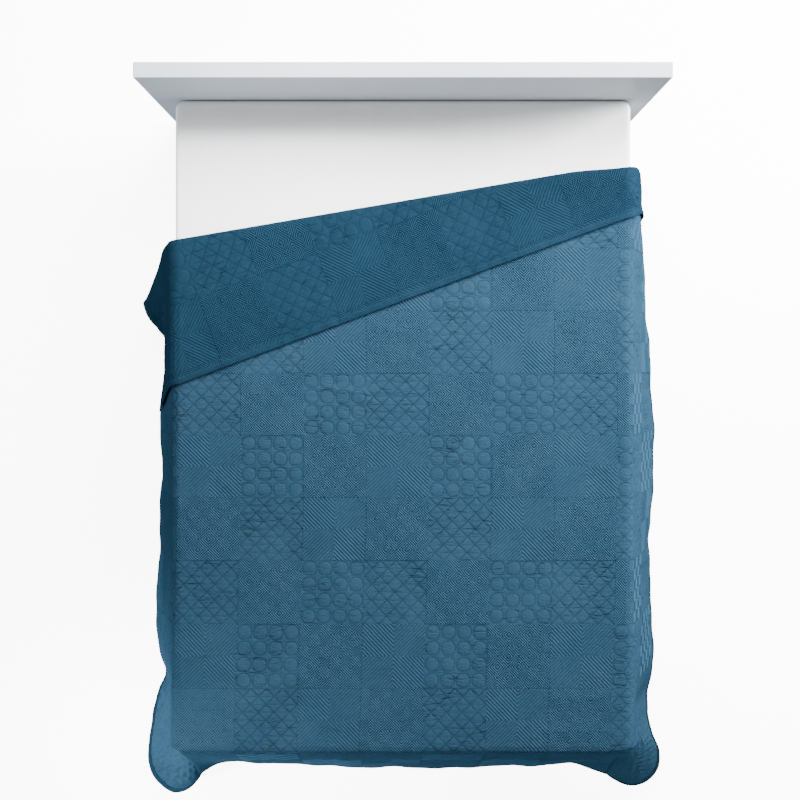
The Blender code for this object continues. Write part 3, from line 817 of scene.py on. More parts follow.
HEIGHTS = {
    "facets": facet_height,
    "cross": cross_height,
    "lattice": lattice_height,
    "circles": circle_height,
}


def motif_blocks(column, row):
    """Each motif's name, with which of the given blocks have that motif."""
    for row_third, names in enumerate(MOTIFS):
        for column_third, name in enumerate(names):
            yield name, (np.mod(row, 3) == row_third) & (np.mod(column - 1, 3) == column_third)


def pattern_height(a, b):
    """The rise of the padding at flat places, by the motif of their block."""
    column = np.floor((a - BLOCK_LEFT) / BLOCK + LEAST_SHARE)
    row = np.floor((BLOCK_HEAD - b) / BLOCK + LEAST_SHARE)
    x = np.clip(a - BLOCK_LEFT - column * BLOCK, 0.0, BLOCK)
    y = np.clip(BLOCK_HEAD - b - row * BLOCK, 0.0, BLOCK)
    height = np.zeros_like(a)
    for name, here in motif_blocks(column, row):
        height[here] = HEIGHTS[name](x[here], y[here])
    from_border = np.minimum(np.minimum(x, BLOCK - x), np.minimum(y, BLOCK - y))
    inside = smooth(from_border / BORDER_RIM)
    height = BORDER_RISE + (height - BORDER_RISE) * inside
    from_hem = np.minimum(SHEET_WIDTH / 2 - np.abs(a), np.minimum(SHEET_HEAD - b, b - SHEET_FOOT))
    return height * smooth((from_hem - HEM_WIDTH + HEM_OVERLAP) / HEM_FADE)


def to_flat(a, b):
    """Where a place of the regular pattern is pressed into the flat sheet."""
    on_flap = smooth(past_fold(a, b) / FLAP_DRIFT_RUN)
    shift_a = through(PATTERN_DRIFT, 1, b) * (1.0 - on_flap)
    shift_b = through(PATTERN_DRIFT, 2, b) * (1.0 - on_flap) + FLAP_DRIFT * on_flap
    return a + shift_a, b + shift_b


def closed(ring):
    """The edges of a ring of points, each from one point to the next."""
    return list(zip(ring, ring[1:] + ring[:1]))


def clipped(start, end):
    """A line across a block, cut off just inside the block's border."""
    low = BORDER_RIM
    high = BLOCK - BORDER_RIM
    first = 0.0
    last = 1.0
    for axis in (0, 1):
        run = end[axis] - start[axis]
        if abs(run) < LEAST_PART:
            if not low <= start[axis] <= high:
                return None
            continue
        enter = (low - start[axis]) / run
        leave = (high - start[axis]) / run
        first = max(first, min(enter, leave))
        last = min(last, max(enter, leave))
    if last - first < LEAST_SHARE:
        return None
    return tuple(
        tuple(start[axis] + (end[axis] - start[axis]) * share for axis in (0, 1))
        for share in (first, last)
    )


def facet_lines():
    """The faces' edges along the pressed lines of a block of diamonds."""
    folds = 2 * FACET_RINGS
    radii = [FACET_HALF * fold / folds for fold in range(1, folds + 1)]
    lines = []
    for column in range(FACET_HALVES + 1):
        for row in range(FACET_HALVES + 1):
            if (column + row) % 2 == 0:
                continue
            x = column * FACET_HALF
            y = row * FACET_HALF
            for radius in radii:
                lines += closed([(x + radius, y), (x, y + radius), (x - radius, y), (x, y - radius)])
    return lines, []


def cross_lines():
    """The faces' edges along the chevrons of a cross block."""
    middle = BLOCK / 2
    lines = []
    for fold in range(1 - CROSS_FOLDS, CROSS_FOLDS):
        line = fold * CROSS_PITCH / 2
        start = (max(-line, 0.0), max(line, 0.0))
        end = (middle - max(line, 0.0), middle - max(-line, 0.0))
        for side in (-1.0, 1.0):
            for way in (-1.0, 1.0):
                lines.append(
                    (
                        (middle + side * start[0], middle + way * start[1]),
                        (middle + side * end[0], middle + way * end[1]),
                    )
                )
    return lines, []


def lattice_lines():
    """The faces' edges of a lattice block: each triangle, and two inside it."""
    half = LATTICE_PITCH / 2
    lines = []
    points = []
    for row in range(LATTICE_HALVES):
        for column in range(-1, LATTICE_HALVES):
            points_up = (column + row) % 2 == 0
            base = row * half if points_up else (row + 1) * half
            tip = (row + 1) * half if points_up else row * half
            corners = [
                (column * half, base),
                ((column + 2) * half, base),
                ((column + 1) * half, tip),
            ]
            if column == -1:
                corners = [(0.0, base), (half, base), (0.0, tip)]
            if column == LATTICE_HALVES - 1:
                corners = [(column * half, base), (BLOCK, base), (BLOCK, tip)]
            sides = [math.dist(corners[index - 2], corners[index - 1]) for index in range(3)]
            centre = tuple(
                sum(side * corner[axis] for side, corner in zip(sides, corners)) / sum(sides)
                for axis in (0, 1)
            )
            area = sides[2] * half / 2
            inner_radius = 2.0 * area / sum(sides)
            points.append(centre)
            for inset in (0.0, LATTICE_GROOVE, LATTICE_SHOULDER):
                share = 1.0 - inset / inner_radius
                ring = [
                    tuple(centre[axis] + (corner[axis] - centre[axis]) * share for axis in (0, 1))
                    for corner in corners
                ]
                lines += closed(ring)
    return lines, points


def circle_lines():
    """The faces' edges of a block of circles: rings about each middle."""
    rings = (
        (CIRCLE_RADIUS + CIRCLE_GROOVE, CIRCLE_SIDES),
        (CIRCLE_RADIUS, CIRCLE_SIDES),
        (CIRCLE_RADIUS - CIRCLE_GROOVE, CIRCLE_SIDES),
        (CIRCLE_MIDDLE, CIRCLE_MIDDLE_SIDES),
    )
    lines = []
    points = []
    for column in range(CIRCLES_ACROSS):
        for row in range(CIRCLES_ACROSS):
            x = (column + 0.5) * CIRCLE_CELL
            y = (row + 0.5) * CIRCLE_CELL
            points.append((x, y))
            for radius, sides in rings:
                ring = []
                for index in range(sides):
                    turn = 2.0 * math.pi * index / sides
                    way = (math.cos(turn), math.sin(turn))
                    square = sum(abs(part) ** CIRCLE_SQUARENESS for part in way)
                    reach = radius / square ** (1.0 / CIRCLE_SQUARENESS)
                    ring.append((x + way[0] * reach, y + way[1] * reach))
                lines += closed(ring)
    steps = [step * CIRCLE_CELL for step in range(1, CIRCLES_ACROSS)]
    return lines, points + [(x, y) for x in steps for y in steps]


def even_points(cells):
    """Points spread evenly over a block, with no lines."""
    steps = [step * BLOCK / cells for step in range(1, cells)]
    return [], [(x, y) for x in steps for y in steps]


def make_tile(lines, points):
    """Triangles over one block, with edges along the lines, all in metres."""
    rim = [index * BLOCK / BORDER_CELLS for index in range(BORDER_CELLS)]
    places = [(part, 0.0) for part in rim]
    places += [(BLOCK, part) for part in rim]
    places += [(BLOCK - part, BLOCK) for part in rim]
    places += [(0.0, BLOCK - part) for part in rim]
    count = len(places)
    edges = [(index, (index + 1) % count) for index in range(count)]
    for start, end in lines:
        line = clipped(start, end)
        if line is None:
            continue
        edges.append((len(places), len(places) + 1))
        places.extend(line)
    places.extend(points)
    flat = [Vector((x * TILE_MILLIMETRES, y * TILE_MILLIMETRES)) for x, y in places]
    found, _, faces, _, _, _ = geometry.delaunay_2d_cdt(flat, edges, [], 0, TILE_JOIN)
    corners = np.array([(point.x, point.y) for point in found]) / TILE_MILLIMETRES
    return corners, np.array(faces)


TILES = {
    "facets": make_tile(*facet_lines()),
    "cross": make_tile(*cross_lines()),
    "lattice": make_tile(*lattice_lines()),
    "circles": make_tile(*circle_lines()),
    "fine": make_tile(*even_points(FINE_CELLS)),
    "plain": make_tile(*even_points(PLAIN_CELLS)),
}


# Sheets of cloth


def cut_faces(points, faces, side, allowed=None):
    """Split the triangles along a line; side is how far off it each point is."""
    side = np.where(np.abs(side) < CUT_SNAP, 0.0, side)
    ends = faces[:, [[0, 1], [1, 2], [2, 0]]]
    crossed = side[ends[..., 0]] * side[ends[..., 1]] < 0.0
    if not crossed.any():
        return points, faces
    pairs, which = np.unique(np.sort(ends[crossed], axis=1), axis=0, return_inverse=True)
    which = which.reshape(-1)
    share = (side[pairs[:, 0]] / (side[pairs[:, 0]] - side[pairs[:, 1]]))[:, None]
    added = points[pairs[:, 0]] * (1.0 - share) + points[pairs[:, 1]] * share
    wanted = np.ones(len(added), bool) if allowed is None else allowed(added[:, 0], added[:, 1])
    number = np.full(crossed.shape, -1)
    number[crossed] = (len(points) + np.cumsum(wanted) - 1)[which]
    crossed[crossed] = wanted[which]
    count = crossed.sum(axis=1)
    made = [faces[count == 0]]
    rows = np.flatnonzero(count == 1)
    edge = np.argmax(crossed[rows], axis=1)
    start, end, tip = (faces[rows, (edge + step) % 3] for step in range(3))
    middle = number[rows, edge]
    made.append(np.stack((start, middle, tip), axis=1))
    made.append(np.stack((middle, end, tip), axis=1))
    rows = np.flatnonzero(count == 2)
    edge = np.argmin(crossed[rows], axis=1)
    start, end, tip = (faces[rows, (edge + step) % 3] for step in range(3))
    near_end = number[rows, (edge + 1) % 3]
    near_start = number[rows, (edge + 2) % 3]
    made.append(np.stack((start, end, near_end), axis=1))
    made.append(np.stack((start, near_end, near_start), axis=1))
    made.append(np.stack((near_start, near_end, tip), axis=1))
    return np.concatenate((points, added[wanted])), np.concatenate(made)


def keep_faces(points, faces, keep):
    """Only some of the triangles, and the points that they use."""
    used, flat = np.unique(faces[keep], return_inverse=True)
    return points[used], flat.reshape(-1, 3)


def joined(points, faces):
    """Points that lie on one another made one."""
    grid = np.round(points / SAME_PLACE).astype(np.int64)
    _, first, same = np.unique(grid, axis=0, return_index=True, return_inverse=True)
    return points[first], same.reshape(-1)[faces]


def flap_cover():
    """The line to which the turned-back flap covers the sheet below it."""
    a = np.linspace(-SHEET_WIDTH / 2, SHEET_WIDTH / 2, FLAP_COVER_POINTS)
    folded_a, folded_b, _, _ = turn_back(a, np.full_like(a, SHEET_HEAD))
    order = np.argsort(folded_a)
    return folded_a[order], folded_b[order]


def tile_name(column, row, is_face):
    """Which cut a block gets: its own motif where it shows, or a plain one."""
    low_a = BLOCK_LEFT + column * BLOCK
    high_b = BLOCK_HEAD - row * BLOCK
    a = np.array([low_a, low_a + BLOCK, low_a, low_a + BLOCK])
    b = np.array([high_b, high_b, high_b - BLOCK, high_b - BLOCK])
    a, b = to_flat(a, b)
    if np.abs(a).max() > SIDE_START + HIDDEN_MARGIN and b.min() < -FOOT_START - HIDDEN_MARGIN:
        return "fine"
    past = past_fold(a, b)
    covered = b > np.interp(a, *flap_cover()) + HIDDEN_MARGIN
    if is_face and (past.min() > FOLD_LENGTH or (covered.all() and past.max() < 0.0)):
        return "plain"
    if not is_face and past.max() < -HIDDEN_MARGIN:
        return "plain"
    return MOTIFS[row % 3][(column - 1) % 3]


def bend_places(start, slope):
    """How far out the sheet bends over one edge: round it, then down the slope."""
    places = [start + slope["bend"] * cut / BEND_CUTS for cut in range(BEND_CUTS + 1)]
    return places + [start + slope["bend"] + slope["length"]]


def before_flap(a, b):
    """Whether flat places are short of the end of the fold."""
    return past_fold(a, b) < FOLD_LENGTH


def on_flap(a, b):
    """Whether flat places are on the turned-back flap."""
    return past_fold(a, b) >= FOLD_LENGTH


def bend_lines():
    """Each line on which the flat sheet bends: a place, its normal, and its part."""
    lines = []
    sine = math.sin(FOLD_ANGLE)
    cosine = math.cos(FOLD_ANGLE)
    for cut in range(FOLD_CUTS + 1):
        past = FOLD_LENGTH * cut / FOLD_CUTS
        lines.append(((-past * sine, FOLD_AT_CENTRE + past * cosine), (-sine, cosine), None))
    across_flap = (math.cos(2 * FOLD_ANGLE), math.sin(2 * FOLD_ANGLE))
    for corner in (-1.0, 1.0):
        for place in bend_places(SIDE_START, SIDE_SLOPE):
            lines.append(((corner * place, 0.0), (1.0, 0.0), before_flap))
            offset = corner * place + FOLD_LENGTH * sine
            start = (offset * across_flap[0], FOLD_AT_CENTRE + offset * across_flap[1])
            lines.append((start, across_flap, on_flap))
    for place in bend_places(FOOT_START, FOOT_SLOPE):
        lines.append(((0.0, -place), (0.0, 1.0), before_flap))
    return lines


def cut_sheet(is_face):
    """The flat sheet as triangles, with edges on its pressed lines and bends.

    Each point has its flat place, then its place in the regular pattern.
    """
    columns = [math.floor((end * SHEET_WIDTH / 2 - BLOCK_LEFT) / BLOCK) for end in (-1, 1)]
    rows = [math.floor((BLOCK_HEAD - end) / BLOCK) for end in (SHEET_HEAD, SHEET_FOOT)]
    points = []
    faces = []
    count = 0
    for row in range(rows[0], rows[1] + 1):
        for column in range(columns[0], columns[1] + 1):
            corners, triangles = TILES[tile_name(column, row, is_face)]
            a = BLOCK_LEFT + column * BLOCK + corners[:, 0]
            b = BLOCK_HEAD - row * BLOCK - corners[:, 1]
            points.append(np.stack((*to_flat(a, b), a, b), axis=1))
            faces.append(triangles[:, ::-1] + count)
            count += len(corners)
    points, faces = joined(np.concatenate(points), np.concatenate(faces))
    edges = (
        (0, SHEET_WIDTH / 2 - HEM_TUCK, 1.0),
        (0, -SHEET_WIDTH / 2 + HEM_TUCK, -1.0),
        (1, SHEET_HEAD - HEM_TUCK, 1.0),
        (1, SHEET_FOOT + HEM_TUCK, -1.0),
    )
    for axis, edge, way in edges:
        points, faces = cut_faces(points, faces, points[:, axis] - edge)
        middle = points[faces][:, :, axis].mean(axis=1)
        points, faces = keep_faces(points, faces, (middle - edge) * way < 0.0)
    for place, normal, allowed in bend_lines():
        side = (points[:, 0] - place[0]) * normal[0] + (points[:, 1] - place[1]) * normal[1]
        points, faces = cut_faces(points, faces, side, allowed)
    return points, faces


def add_object(name, data):
    """A new object in the scene."""
    made = bpy.data.objects.new(name, data)
    bpy.context.scene.collection.objects.link(made)
    return made


def new_piece(name, places, faces, flat=None):
    """A mesh piece from places in the frame, with its flat places as the UV map."""
    data = bpy.data.meshes.new(name)
    data.from_pydata(places.tolist(), [], [list(face) for face in faces])
    data.update()
    if flat is not None:
        corners = np.zeros(len(data.loops), np.int32)
        data.loops.foreach_get("vertex_index", corners)
        layer = data.uv_layers.new(name="cloth")
        layer.data.foreach_set("uv", flat[corners].ravel())
    data.shade_smooth()
    piece = add_object(name, data)
    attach(piece, "root")
    return piece


def ring_faces(rings, count):
    """Four-sided faces between closed rings of points, each ring after the last."""
    faces = []
    for start in range(0, (rings - 1) * count, count):
        above = start + count
        for index in range(count):
            after = (index + 1) % count
            faces.append((start + index, start + after, above + after, above + index))
    return faces


def is_pleated(points):
    """Whether places of the sheet lie in a block of straight pressed lines."""
    a, b, pattern_a, pattern_b = points.T
    column = np.floor((pattern_a - BLOCK_LEFT) / BLOCK)
    row = np.floor((BLOCK_HEAD - pattern_b) / BLOCK)
    pleated = np.zeros(len(points), bool)
    for name, here in motif_blocks(column, row):
        if name in ("facets", "cross"):
            pleated |= here
    in_ear = (np.abs(a) > SIDE_START) & (b < -FOOT_START)
    return pleated & ~in_ear


def new_cloth_piece(name, places, faces, points):
    """A layer of the sheet; the sides of its pleats are flat, and the rest is soft."""
    piece = new_piece(name, places, faces.tolist(), points[:, 2:])
    soft = ~is_pleated(points[faces].mean(axis=1))
    piece.data.polygons.foreach_set("use_smooth", soft)
    return piece


def make_face():
    """The face of the bedspread, which shows on top of the bed."""
    points, faces = cut_sheet(True)
    a, b, pattern_a, pattern_b = points.T
    height = pattern_height(pattern_a, pattern_b)
    places = place_cloth(a, b, FACE_REST + height)
    return new_cloth_piece("bedspread_face", places, faces, points)


def make_back():
    """The backing of the bedspread, which shows on the turned-back flap."""
    points, faces = cut_sheet(False)
    a, b, pattern_a, pattern_b = points.T
    in_flap = smooth(past_fold(a, b) / BACK_PUFF_SPREAD)
    puffed = BACK_PUFF_ON_BED + (1.0 - BACK_PUFF_ON_BED) * in_flap
    height = pattern_height(pattern_a, pattern_b)
    places = place_cloth(a, b, -BACK_REST - height * puffed)
    return new_cloth_piece("bedspread_back", places, faces[:, ::-1], points)


# Hem


def hem_loop(inset):
    """Flat places round the sheet, some way in from its edge, anticlockwise."""
    side = SHEET_WIDTH / 2 - inset
    foot = SHEET_FOOT + inset
    head = SHEET_HEAD - inset
    corners = np.array(((-side, foot), (side, foot), (side, head), (-side, head)))
    loop = []
    ends = np.roll(corners, -1, axis=0)
    for start, end, length in zip(corners, ends, 2 * (SHEET_WIDTH, SHEET_LENGTH)):
        share = np.linspace(0.0, 1.0, round(length / HEM_STEP), endpoint=False)
        loop.append(start + (end - start) * share[:, None])
    return np.concatenate(loop).T


def make_hem():
    """The turned edge of the cloth, doubled over both sides all the way round."""
    profile = list(HEM_PROFILE) + [(inset, -off) for inset, off in reversed(HEM_PROFILE[:-1])]
    loops = []
    flats = []
    for inset, off in profile:
        a, b = hem_loop(inset)
        loops.append(place_cloth(a, b, np.full_like(a, off)))
        flats.append(np.stack((a, b), axis=1))
    faces = [face[:1] + face[:0:-1] for face in ring_faces(len(profile), len(loops[0]))]
    return new_piece("bedspread_hem", np.concatenate(loops), faces, np.concatenate(flats))


def make_stitches():
    """The line of stitches that holds the hem, on both sides of the cloth."""
    a, b = hem_loop(STITCH_INSET)
    step_a = np.roll(a, -1) - a
    step_b = np.roll(b, -1) - b
    gap = np.hypot(step_a, step_b)
    reach = np.concatenate(([0.0], np.cumsum(gap)))
    at = np.arange(0.0, reach[-1] - STITCH_PITCH / 2, STITCH_PITCH)
    index = np.searchsorted(reach, at, side="right") - 1
    share = (at - reach[index]) / gap[index]
    way_a = step_a[index] / gap[index]
    way_b = step_b[index] / gap[index]
    a = a[index] + share * step_a[index]
    b = b[index] + share * step_b[index]
    count = len(a)
    corners = (
        # along, across, off
        (-STITCH_LENGTH / 2, 0.0, 0.0),
        (STITCH_LENGTH / 2, 0.0, 0.0),
        (0.0, STITCH_WIDTH / 2, STITCH_RISE / 2),
        (0.0, -STITCH_WIDTH / 2, STITCH_RISE / 2),
        (0.0, 0.0, STITCH_RISE),
        (0.0, 0.0, -STITCH_RISE / 3),
    )
    sides = ((0, 2, 4), (0, 4, 3), (0, 3, 5), (0, 5, 2), (1, 4, 2), (1, 3, 4), (1, 5, 3), (1, 2, 5))
    places = []
    flats = []
    faces = []
    for side in (1.0, -1.0):
        start = len(places) * count
        for along, across, off in corners:
            corner_a = a + way_a * along - way_b * across
            corner_b = b + way_b * along + way_a * across
            height = np.full(count, side * (STITCH_OFF + off))
            places.append(place_cloth(corner_a, corner_b, height))
            flats.append(np.stack((corner_a, corner_b), axis=1))
        for corner in sides:
            ordered = corner if side > 0.0 else corner[::-1]
            numbers = [start + number * count + np.arange(count) for number in ordered]
            faces.extend(np.stack(numbers, axis=1).tolist())
    return new_piece("bedspread_stitches", np.concatenate(places), faces, np.concatenate(flats))


# Materials


class Nodes:
    """A short way to write a material's nodes."""

    def __init__(self, name):
        self.material = bpy.data.materials.new(name)
        self.material.use_nodes = True
        self.tree = self.material.node_tree
        self.shader = self.tree.nodes["Principled BSDF"]

    def add(self, kind, inputs=None, **settings):
        """A node, with the values of its inputs and its settings."""
        node = self.tree.nodes.new("ShaderNode" + kind)
        for key, value in settings.items():
            setattr(node, key, value)
        for key, value in (inputs or {}).items():
            self.feed(node.inputs[key], value)
        return node

    def surface(self, inputs):
        """The shader's own inputs, and with them the finished material."""
        for key, value in inputs.items():
            self.feed(self.shader.inputs[key], value)
        return self.material

    def feed(self, socket, value):
        """A socket gets a link or a value."""
        if hasattr(value, "is_linked"):
            self.tree.links.new(value, socket)
        else:
            socket.default_value = value

    def maths(self, operation, *values):
        """One sum on numbers or sockets."""
        node = self.tree.nodes.new("ShaderNodeMath")
        node.operation = operation
        for socket, value in zip(node.inputs, values):
            self.feed(socket, value)
        return node.outputs[0]

    def noise(self, vector, scale, detail=2.0, roughness=0.5, distortion=0.0):
        """Noise from 0 to 1, at a scale in turns a metre, or at one scale each way."""
        if isinstance(scale, tuple):
            mapping = self.add("Mapping", {"Vector": vector, "Scale": scale})
            vector = mapping.outputs["Vector"]
            scale = 1.0
        inputs = {"Vector": vector, "Scale": scale, "Detail": detail}
        inputs.update({"Roughness": roughness, "Distortion": distortion})
        return self.add("TexNoise", inputs).outputs["Fac"]

    def between(self, share, low, high):
        """A colour between two, by a share from 0 to 1."""
        node = self.add("ValToRGB", {"Fac": share})
        node.color_ramp.elements[0].color = low
        node.color_ramp.elements[1].color = high
        return node.outputs["Color"]

    def bump(self, height, distance, strength, normal=None):
        """A bump whose height of 1 stands for a distance in metres."""
        node = self.add("Bump", {"Height": height, "Distance": distance, "Strength": strength})
        if normal is not None:
            self.feed(node.inputs["Normal"], normal)
        return node.outputs["Normal"]


class Term:
    """A value inside a material, so that the chart can be written as sums."""

    def __init__(self, nodes, socket):
        self.nodes = nodes
        self.socket = socket

    def maths(self, operation, *others):
        """One sum on this value and others."""
        values = [other.socket if isinstance(other, Term) else other for other in others]
        return Term(self.nodes, self.nodes.maths(operation, self.socket, *values))

    def __add__(self, other):
        return self.maths("ADD", other)

    def __sub__(self, other):
        return self.maths("SUBTRACT", other)

    def __mul__(self, other):
        return self.maths("MULTIPLY", other)

    def least(self, other):
        return self.maths("MINIMUM", other)

    def most(self, other):
        return self.maths("MAXIMUM", other)

    def size(self):
        return self.maths("ABSOLUTE")

    def part(self):
        return self.maths("FRACT")

    def whole(self):
        return self.maths("FLOOR")

    def power(self, other):
        return self.maths("POWER", other)

    def is_near(self, other):
        return self.maths("COMPARE", other, NEAR_WHOLE)

    def from_whole(self):
        return (self.part() - 0.5).size() * -1.0 + 0.5

    def line(self, width):
        """How near this distance is to a line, from 1 on it to 0 beside it."""
        return (self * (-1.0 / width) + 1.0).most(0.0)


def painted_line_shade(nodes, flat):
    """Painted shade for the pressed lines: how much darker a place is painted than its block,
    standing in for the shade in the grooves, and negative where a pleat's ridge is painted lighter.

    The second value is 1 in the blocks of loose padding and 0 in the pleated ones.
    """
    split = nodes.add("SeparateXYZ", {"Vector": flat})
    column = (Term(nodes, split.outputs["X"]) - BLOCK_LEFT) * (1.0 / BLOCK)
    row = (Term(nodes, split.outputs["Y"]) * -1.0 + BLOCK_HEAD) * (1.0 / BLOCK)
    x = column.part() * BLOCK
    y = row.part() * BLOCK
    column_third = ((column + COLUMN_SHIFT) * (1.0 / 3.0)).part() * 3.0
    row_third = ((row + ROW_SHIFT) * (1.0 / 3.0)).part() * 3.0
    column_third = column_third.whole()
    row_third = row_third.whole()
    both = column_third + row_third
    is_facets = column_third.is_near(row_third)
    is_circles = both.is_near(1.0)
    is_lattice = both.is_near(2.0) * (is_facets * -1.0 + 1.0)
    is_cross = both.is_near(3.0)

    down = ((x + y) * (0.5 / FACET_HALF)).part() * 2.0 - 1.0
    up = ((x - y) * (0.5 / FACET_HALF)).part() * 2.0 - 1.0
    ring = (down.size().most(up.size()) * FACET_RINGS).most(LEAST_FACET_RING)
    facets = (ring.from_whole() * -2.0 * FACET_EDGE + (0.5 + FACET_EDGE / 2)).most(0.0).least(1.0)

    chevron = ((y - BLOCK / 2).size() - (x - BLOCK / 2).size()) * (1.0 / CROSS_PITCH)
    cross = chevron.from_whole() * -2.0 + 1.0

    down = ((x + y) * (1.0 / LATTICE_PITCH)).from_whole()
    up = ((x - y) * (1.0 / LATTICE_PITCH)).from_whole()
    slanted = down.least(up) * (LATTICE_PITCH / math.sqrt(2.0))
    level = (y * (2.0 / LATTICE_PITCH)).from_whole() * (LATTICE_PITCH / 2.0)
    lattice = slanted.line(GROOVE_WIDTH).most(level.line(GROOVE_WIDTH) * LEVEL_GROOVE_SHARE)

    off_x = ((x * (1.0 / CIRCLE_CELL)).part() * CIRCLE_CELL - CIRCLE_CELL / 2).size()
    off_y = ((y * (1.0 / CIRCLE_CELL)).part() * CIRCLE_CELL - CIRCLE_CELL / 2).size()
    radius = off_x.power(CIRCLE_SQUARENESS) + off_y.power(CIRCLE_SQUARENESS)
    radius = radius.power(1.0 / CIRCLE_SQUARENESS)
    circles = (radius - CIRCLE_RADIUS).size().line(GROOVE_WIDTH)

    # Painted shade in each motif's pressed lines; where a line value is below its mean, as on the
    # facets' ridges, it is painted lighter
    lines = (facets - FACET_MEAN) * is_facets * FACET_SHADE
    lines = lines + (cross - CROSS_MEAN) * is_cross * CROSS_SHADE
    lines = lines + (lattice - LATTICE_MEAN) * is_lattice * LATTICE_SHADE
    lines = lines + (circles - CIRCLE_MEAN) * is_circles * CIRCLE_SHADE
    # Painted shade along the groove round each block
    near_x = column.from_whole() * BLOCK
    near_y = row.from_whole() * BLOCK
    border = near_x.least(near_y).line(GROOVE_WIDTH / 2) * BORDER_GROOVE_SHARE
    # The painted shade of the lines is weaker on the hanging sides
    on_side = (Term(nodes, split.outputs["X"]).size() - SIDE_START) * (1.0 / SIDE_FADE)
    lines = lines * (on_side.most(0.0).least(1.0) * (SIDE_LINE_SHARE - 1.0) + 1.0)
    return lines + border, is_circles + is_lattice


def cloth_material(name, low, high, depth):
    """Brushed teal microfibre with a fine weave and small crumples, with painted shade in its
    pressed lines and wrinkles and painted light on its pleats' ridges.
    """
    nodes = Nodes(name)
    flat = nodes.add("UVMap", uv_map="cloth").outputs["UV"]
    broad = nodes.noise(flat, *CLOTH_BROAD)
    mottle = nodes.noise(flat, *CLOTH_MOTTLE)
    heather = nodes.noise(flat, *CLOTH_HEATHER)
    share = nodes.maths("MULTIPLY", mottle, MOTTLE_MIX)
    share = nodes.maths("MULTIPLY_ADD", broad, BROAD_MIX, share)
    share = nodes.maths("MULTIPLY_ADD", heather, HEATHER_MIX, share)
    share = nodes.maths("SUBTRACT", share, MIX_DARKEST)
    colour = nodes.between(share, low, high)
    lines, is_loose = painted_line_shade(nodes, flat)
    # A slow noise in patches, where the painted shade of the lines is stronger and the wrinkles lie
    shade_patches = Term(nodes, nodes.noise(flat, *CLOTH_SHADE_PATCHES))
    wrinkle = Term(nodes, nodes.noise(flat, *CLOTH_WRINKLES))
    wrinkle = (wrinkle - WRINKLE_FROM).most(0.0) * (shade_patches - WRINKLE_PATCH_FROM).most(0.0)
    wrinkle = wrinkle * (is_loose * (1.0 - PLEATED_WRINKLES) + PLEATED_WRINKLES)
    # Painted shade: the pressed lines and the wrinkles darken the colour and the pleats' ridges
    # lighten it; depth is the share of it
    shade = lines * (shade_patches * LINE_SHADE_SWING + LINE_SHADE_LEAST) + wrinkle * WRINKLE_SHADE
    shade = (shade * -depth + 1.0).most(DARKEST_LINE)
    shaded = nodes.add("VectorMath", {"Vector": colour}, operation="SCALE")
    nodes.feed(shaded.inputs["Scale"], shade.socket)
    small_folds = nodes.noise(flat, *CLOTH_SMALL_FOLDS)
    normal = nodes.bump((lines * -1.0).socket, *LINE_BUMP)
    normal = nodes.bump(small_folds, *SMALL_FOLD_BUMP, normal)
    normal = nodes.bump((wrinkle * -1.0).socket, *WRINKLE_BUMP, normal)
    weave = nodes.add("TexVoronoi", {"Vector": flat, "Scale": WEAVE_TURNS}, voronoi_dimensions="2D")
    return nodes.surface(
        {
            "Base Color": shaded.outputs["Vector"],
            "Normal": nodes.bump(weave.outputs["Distance"], *WEAVE_BUMP, normal),
            "Roughness": nodes.maths("MULTIPLY_ADD", mottle, *CLOTH_ROUGHNESS),
            "Specular IOR Level": 0.0,
        }
    )


def thread_material():
    """Twisted teal thread, a little glossier than the cloth."""
    nodes = Nodes("teal_thread")
    flat = nodes.add("UVMap", uv_map="cloth").outputs["UV"]
    twist = nodes.noise(flat, THREAD_TWIST)
    colour = nodes.between(twist, BACK_LOW, THREAD_HIGH)
    normal = nodes.bump(twist, *TWIST_BUMP)
    return nodes.surface({"Base Color": colour, "Normal": normal, "Roughness": THREAD_ROUGHNESS})


def mattress_material():
    """White mattress ticking, with faint streaks along the bed."""
    nodes = Nodes("white_ticking")
    place = nodes.add("TexCoord").outputs["Object"]
    streaks = nodes.noise(place, *TICKING_STREAKS)
    colour = nodes.between(streaks, TICKING_LOW, TICKING_HIGH)
    knit = nodes.noise(place, TICKING_KNIT)
    normal = nodes.bump(knit, *KNIT_BUMP)
    soft = nodes.noise(place, *TICKING_SOFT)
    normal = nodes.bump(soft, *SOFT_BUMP, normal)
    return nodes.surface(
        {
            "Base Color": colour,
            "Normal": normal,
            "Roughness": TICKING_ROUGHNESS,
            "Sheen Weight": TICKING_SHEEN,
        }
    )


def board_material(name):
    """Satin lacquer on board, with a faint ripple and finger marks."""
    low, high, roughness = BOARDS[name]
    nodes = Nodes(name)
    place = nodes.add("TexCoord").outputs["Object"]
    colour = nodes.between(nodes.noise(place, *BOARD_CLOUD), low, high)
    marks = nodes.noise(place, *BOARD_MARKS)
    rough = nodes.maths("MULTIPLY_ADD", marks, BOARD_MARK_ROUGHNESS, roughness)
    normal = nodes.bump(nodes.noise(place, BOARD_RIPPLE), *RIPPLE_BUMP)
    return nodes.surface({"Base Color": colour, "Roughness": rough, "Normal": normal})


def slat_material():
    """Pale sawn wood, with its grain along each slat."""
    nodes = Nodes("slat_wood")
    place = nodes.add("TexCoord").outputs["Object"]
    grain = nodes.noise(place, *WOOD_GRAIN)
    colour = nodes.between(grain, WOOD_LOW, WOOD_HIGH)
    normal = nodes.bump(grain, *GRAIN_BUMP)
    return nodes.surface({"Base Color": colour, "Normal": normal, "Roughness": WOOD_ROUGHNESS})


def dress(piece, material):
    """A piece or a carried-over node gets its material and the record's slot."""
    if piece.data.materials:
        for index in range(len(piece.data.materials)):
            piece.material_slots[index].material = material
    else:
        piece.data.materials.append(material)


# Mattress


